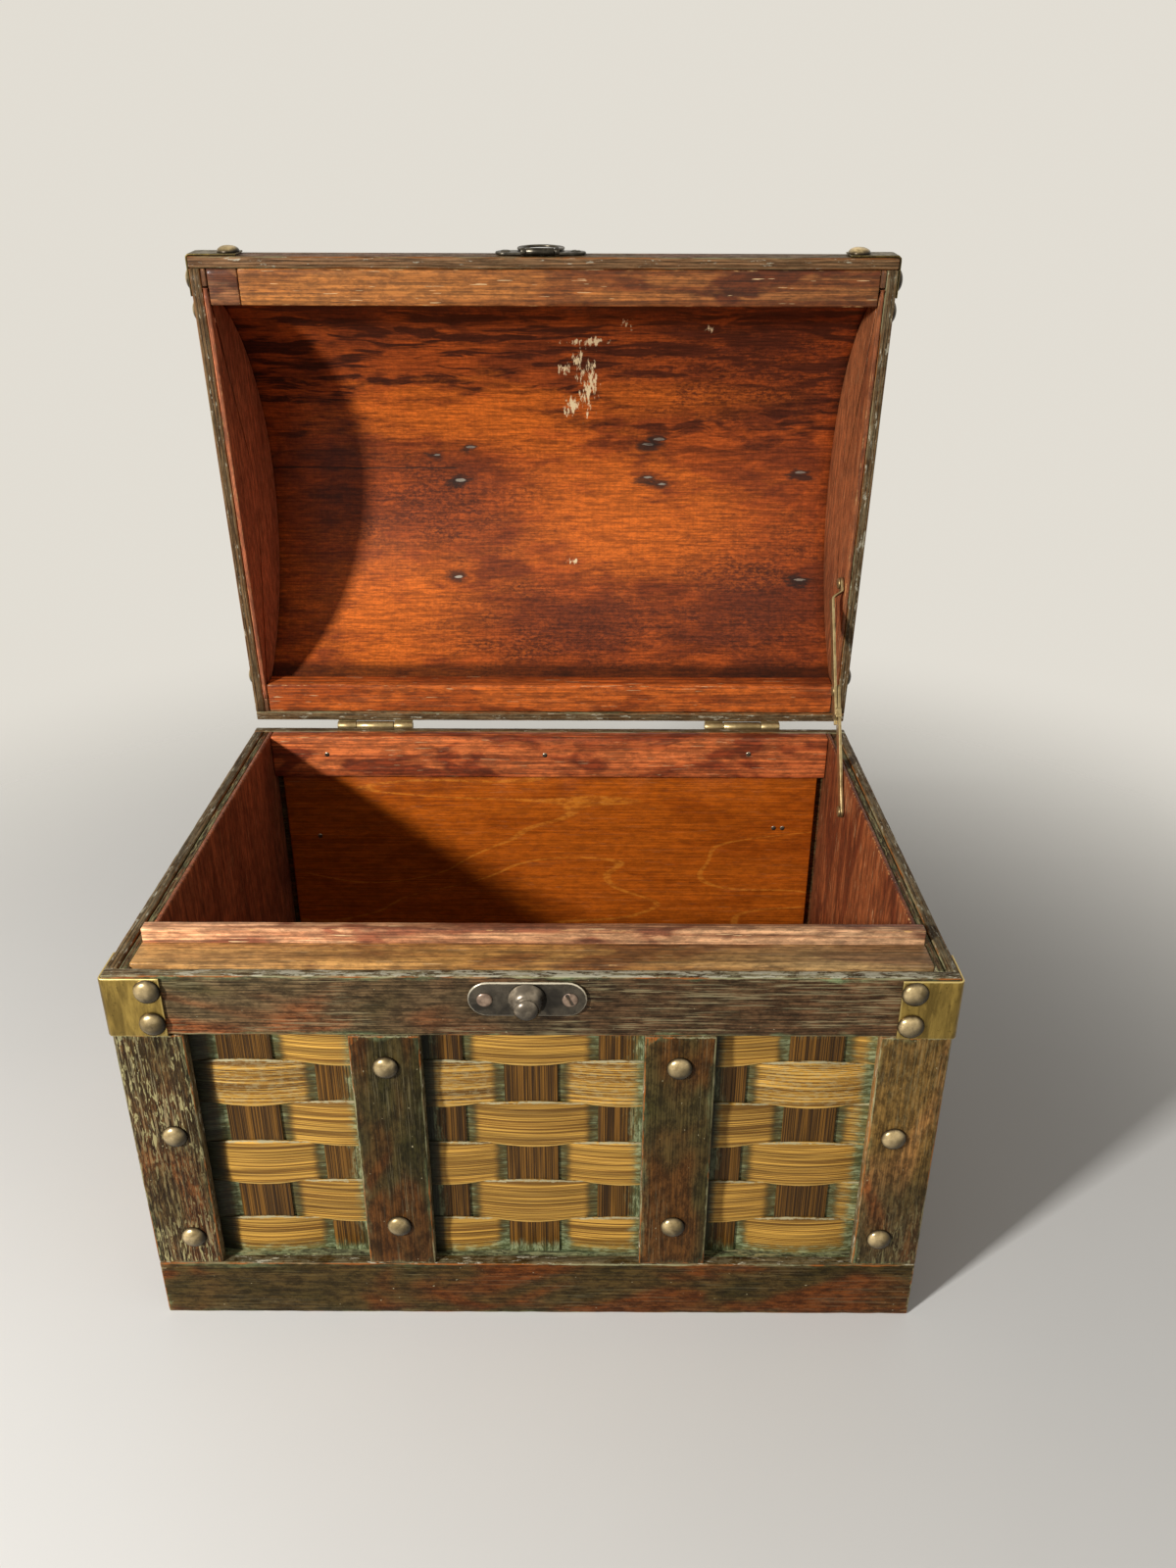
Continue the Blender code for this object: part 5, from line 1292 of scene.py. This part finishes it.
# Catch and hasp, shaped shut. The hasp is folded back, so its ring stands above its pin.
catch = {"height": 10.4 * mm, "wrapLow": 0.6 * mm, "wrapHigh": 0.8 * mm, "screwSize": 0.8}
hasp = {
    "ringBore": 8.3 * mm, "ring": 11.2 * mm, "sheet": 1 * mm, "neck": 11 * mm,
    "barrel": 1.6 * mm, "bore": 0.95 * mm, "pin": 0.7 * mm, "length": 13 * mm, "gap": 0.3 * mm,
    "knuckle": 2.1 * mm, "neckStart": 0.5 * mm, "neckGap": 0.05 * mm,
}
pinBox = nodeBox("hasp_pin", shut=True)
pinY, pinZ = pinAxis = (pinBox[0][1:] + pinBox[1][1:]) / 2
lowest, highest = nodeBox("catch_plate", shut=True)
middle = (clasp["x"], highest[1] - clasp["thickness"] / 2, highest[2] - catch["height"] / 2)
outline = stadium((highest[0] - lowest[0]) / 2, catch["height"] / 2)
parts = [platePart(outline, clasp["thickness"], 0.4 * mm, middle, *frontWays, seed=161, dent=0.05 * mm)]
faceY = highest[1] - clasp["thickness"]
for side in (-1, 1):
    inner = hasp["length"] / 2 + hasp["gap"]
    start, end = sorted(clasp["x"] + side * (inner + share * hasp["knuckle"]) for share in (0, 1))
    parts.append(tube(start, end, pinAxis, hasp["barrel"], hasp["bore"], 20))
    wrapEnd = highest[2] - catch["height"] + catch["wrapHigh"]
    wrap = (start, faceY, pinZ + catch["wrapLow"]), (end, highest[1], wrapEnd)
    parts.append(board(*wrap, 2, 1, radius=0.2 * mm, spacing=1 * mm))
for side in (-1, 1):
    place = (clasp["x"] + side * clasp["screws"], faceY, middle[2])
    groove = (0.45 * mm, 0.4 * mm, 0.9 + 0.5 * side)
    profile = screwProfile * catch["screwSize"]
    parts.append(turnedPart(profile, place, toFront, groove=groove, dent=0.05 * mm, seed=side + 4))
buildPiece("catch_plate", parts, [agedBronze], "lid", onLid=True)
buildPiece("hasp_pin", [rod(pinBox, pinAxis, hasp["pin"], 14)], [bronze], "lid", onLid=True)

ringZ = nodeBox("hasp", shut=True)[1][2] - hasp["ring"]
half, soft = hasp["sheet"] / 2, 0.25 * mm
inner, outer = hasp["ringBore"], hasp["ring"]
ringProfile = [(inner, soft - half), (inner + soft, -half), (outer - soft, -half), (outer, soft - half)]
ringProfile += [(outer, half - soft), (outer - soft, half), (inner + soft, half), (inner, half - soft)]
ringProfile += ringProfile[:1]
ring = turnedPart(ringProfile, (clasp["x"], pinY, ringZ), (0, 1, 0), 56)
neckLow = (clasp["x"] - hasp["neck"] / 2, pinY - half, pinZ + hasp["neckStart"])
neckHigh = (clasp["x"] + hasp["neck"] / 2, pinY + half, ringZ - inner - hasp["neckGap"])
neck = board(neckLow, neckHigh, 2, 1, radius=soft, spacing=1 * mm)
ends = (clasp["x"] - hasp["length"] / 2, clasp["x"] + hasp["length"] / 2)
barrel = tube(*ends, pinAxis, hasp["barrel"], hasp["bore"], 20)
buildPiece("hasp", [ring, neck, barrel], [agedBronze], "hasp", onLid=True)
print("hardware made")

studio = {
    "aim": (0, 0, 0.2),
    # Each lamp: where it comes from, its distance, its size and its power.
    "keyLamp": ((-0.85, -0.88, 0.5), 1.32, 0.12, 20.5),
    "fillLamp": ((0.9, -0.6, 0.6), 2.2, 1.8, 3),
    "skyColour": (1, 0.98, 0.95),
    "skyStrength": 0.2,
    "backdrop": (0.76, 0.725, 0.655),
    "floor": (0.74, 0.72, 0.68),
    "floorLighter": 1.04,
    "floorRings": (0, 0.5, 2, 3),
    "floorSides": 96,
    "floorLevel": -0.2 * mm,
    "floorFade": (0.26, 0.85),
}

for name in ("keyLamp", "fillLamp"):
    way, distance, size, power = studio[name]
    lamp = bpy.data.lights.new(name, "AREA")
    lamp.size = size
    lamp.energy = power
    holder = addObject(name, lamp)
    holder.location = Vector(studio["aim"]) + Vector(way).normalized() * distance
    holder.rotation_euler = Vector(way).to_track_quat("Z", "Y").to_euler()

turn = np.linspace(0, 2 * pi, studio["floorSides"], endpoint=False)
rings = np.array(studio["floorRings"])[:, None]
level = 0 * rings * turn + studio["floorLevel"]
points = np.stack((rings * np.cos(turn), rings * np.sin(turn), level), axis=-1)
mesh = bpy.data.meshes.new("floor")
mesh.from_pydata(points.reshape(-1, 3).tolist(), [], gridFaces(len(rings), len(turn)).tolist())
shell = bmesh.new()
shell.from_mesh(mesh)
bmesh.ops.remove_doubles(shell, verts=shell.verts, dist=1e-6)
shell.to_mesh(mesh)
shell.free()
r = Recipe("paleFloor", roughness=0.7)
r.vector = r.node("TexCoord").outputs["Object"]
away = r.node("VectorMath", {0: r.vector}, operation="LENGTH").outputs["Value"]
lighter = tuple(value * studio["floorLighter"] for value in studio["floor"])
r.set(colour=r.blend(r.noise((9, 9), 4), studio["floor"], lighter))
r.set(alpha=r.fade(away, *studio["floorFade"], 1, 0))
mesh.materials.append(r.paint)
floor = addObject("floor", mesh)

world = bpy.data.worlds.new("studio")
bpy.context.scene.world = world
world.use_nodes = True
tree = world.node_tree
sky = tree.nodes["Background"]
sky.inputs["Color"].default_value = (*studio["skyColour"], 1)
sky.inputs["Strength"].default_value = studio["skyStrength"]
shown, rays, seen, seenToo, choice = (
    tree.nodes.new("ShaderNode" + kind) for kind in ("Background", "LightPath", "Math", "Math", "MixShader")
)
shown.inputs["Color"].default_value = (*studio["backdrop"], 1)
seen.operation = seenToo.operation = "MAXIMUM"
for output, socket in (
    (rays.outputs["Is Camera Ray"], seen.inputs[0]),
    (rays.outputs["Is Glossy Ray"], seen.inputs[1]),
    (seen.outputs[0], seenToo.inputs[0]),
    (rays.outputs["Is Transmission Ray"], seenToo.inputs[1]),
    (seenToo.outputs[0], choice.inputs[0]),
    (sky.outputs[0], choice.inputs[1]),
    (shown.outputs[0], choice.inputs[2]),
    (choice.outputs[0], tree.nodes["World Output"].inputs["Surface"]),
):
    tree.links.new(output, socket)

camera = {
    "focalPixels": 1231.664, "imageTall": 1600, "eye": (0.021966, -0.503428, 0.448514),
    "tiltDown": 0.451127, "turn": -0.000929, "lean": 0.00293, "sensor": 36,
}
tilt, turn, lean = camera["tiltDown"], camera["turn"], camera["lean"]
forward = Vector((sin(turn) * cos(tilt), cos(turn) * cos(tilt), -sin(tilt)))
right = Vector((cos(turn), -sin(turn), 0))
up = right.cross(forward)
imageRight = right * cos(lean) + up * sin(lean)
imageUp = up * cos(lean) - right * sin(lean)
lens = bpy.data.cameras.new("camera")
lens.sensor_width = camera["sensor"]
lens.lens = camera["focalPixels"] * camera["sensor"] / camera["imageTall"]
lens.clip_start = 0.01
holder = addObject("camera", lens)
turned = Matrix((imageRight, imageUp, -forward)).transposed().to_4x4()
holder.matrix_world = Matrix.Translation(camera["eye"]) @ turned
bpy.context.scene.camera = holder
bpy.context.scene.view_settings.view_transform = "Standard"
print("light, floor and camera made")
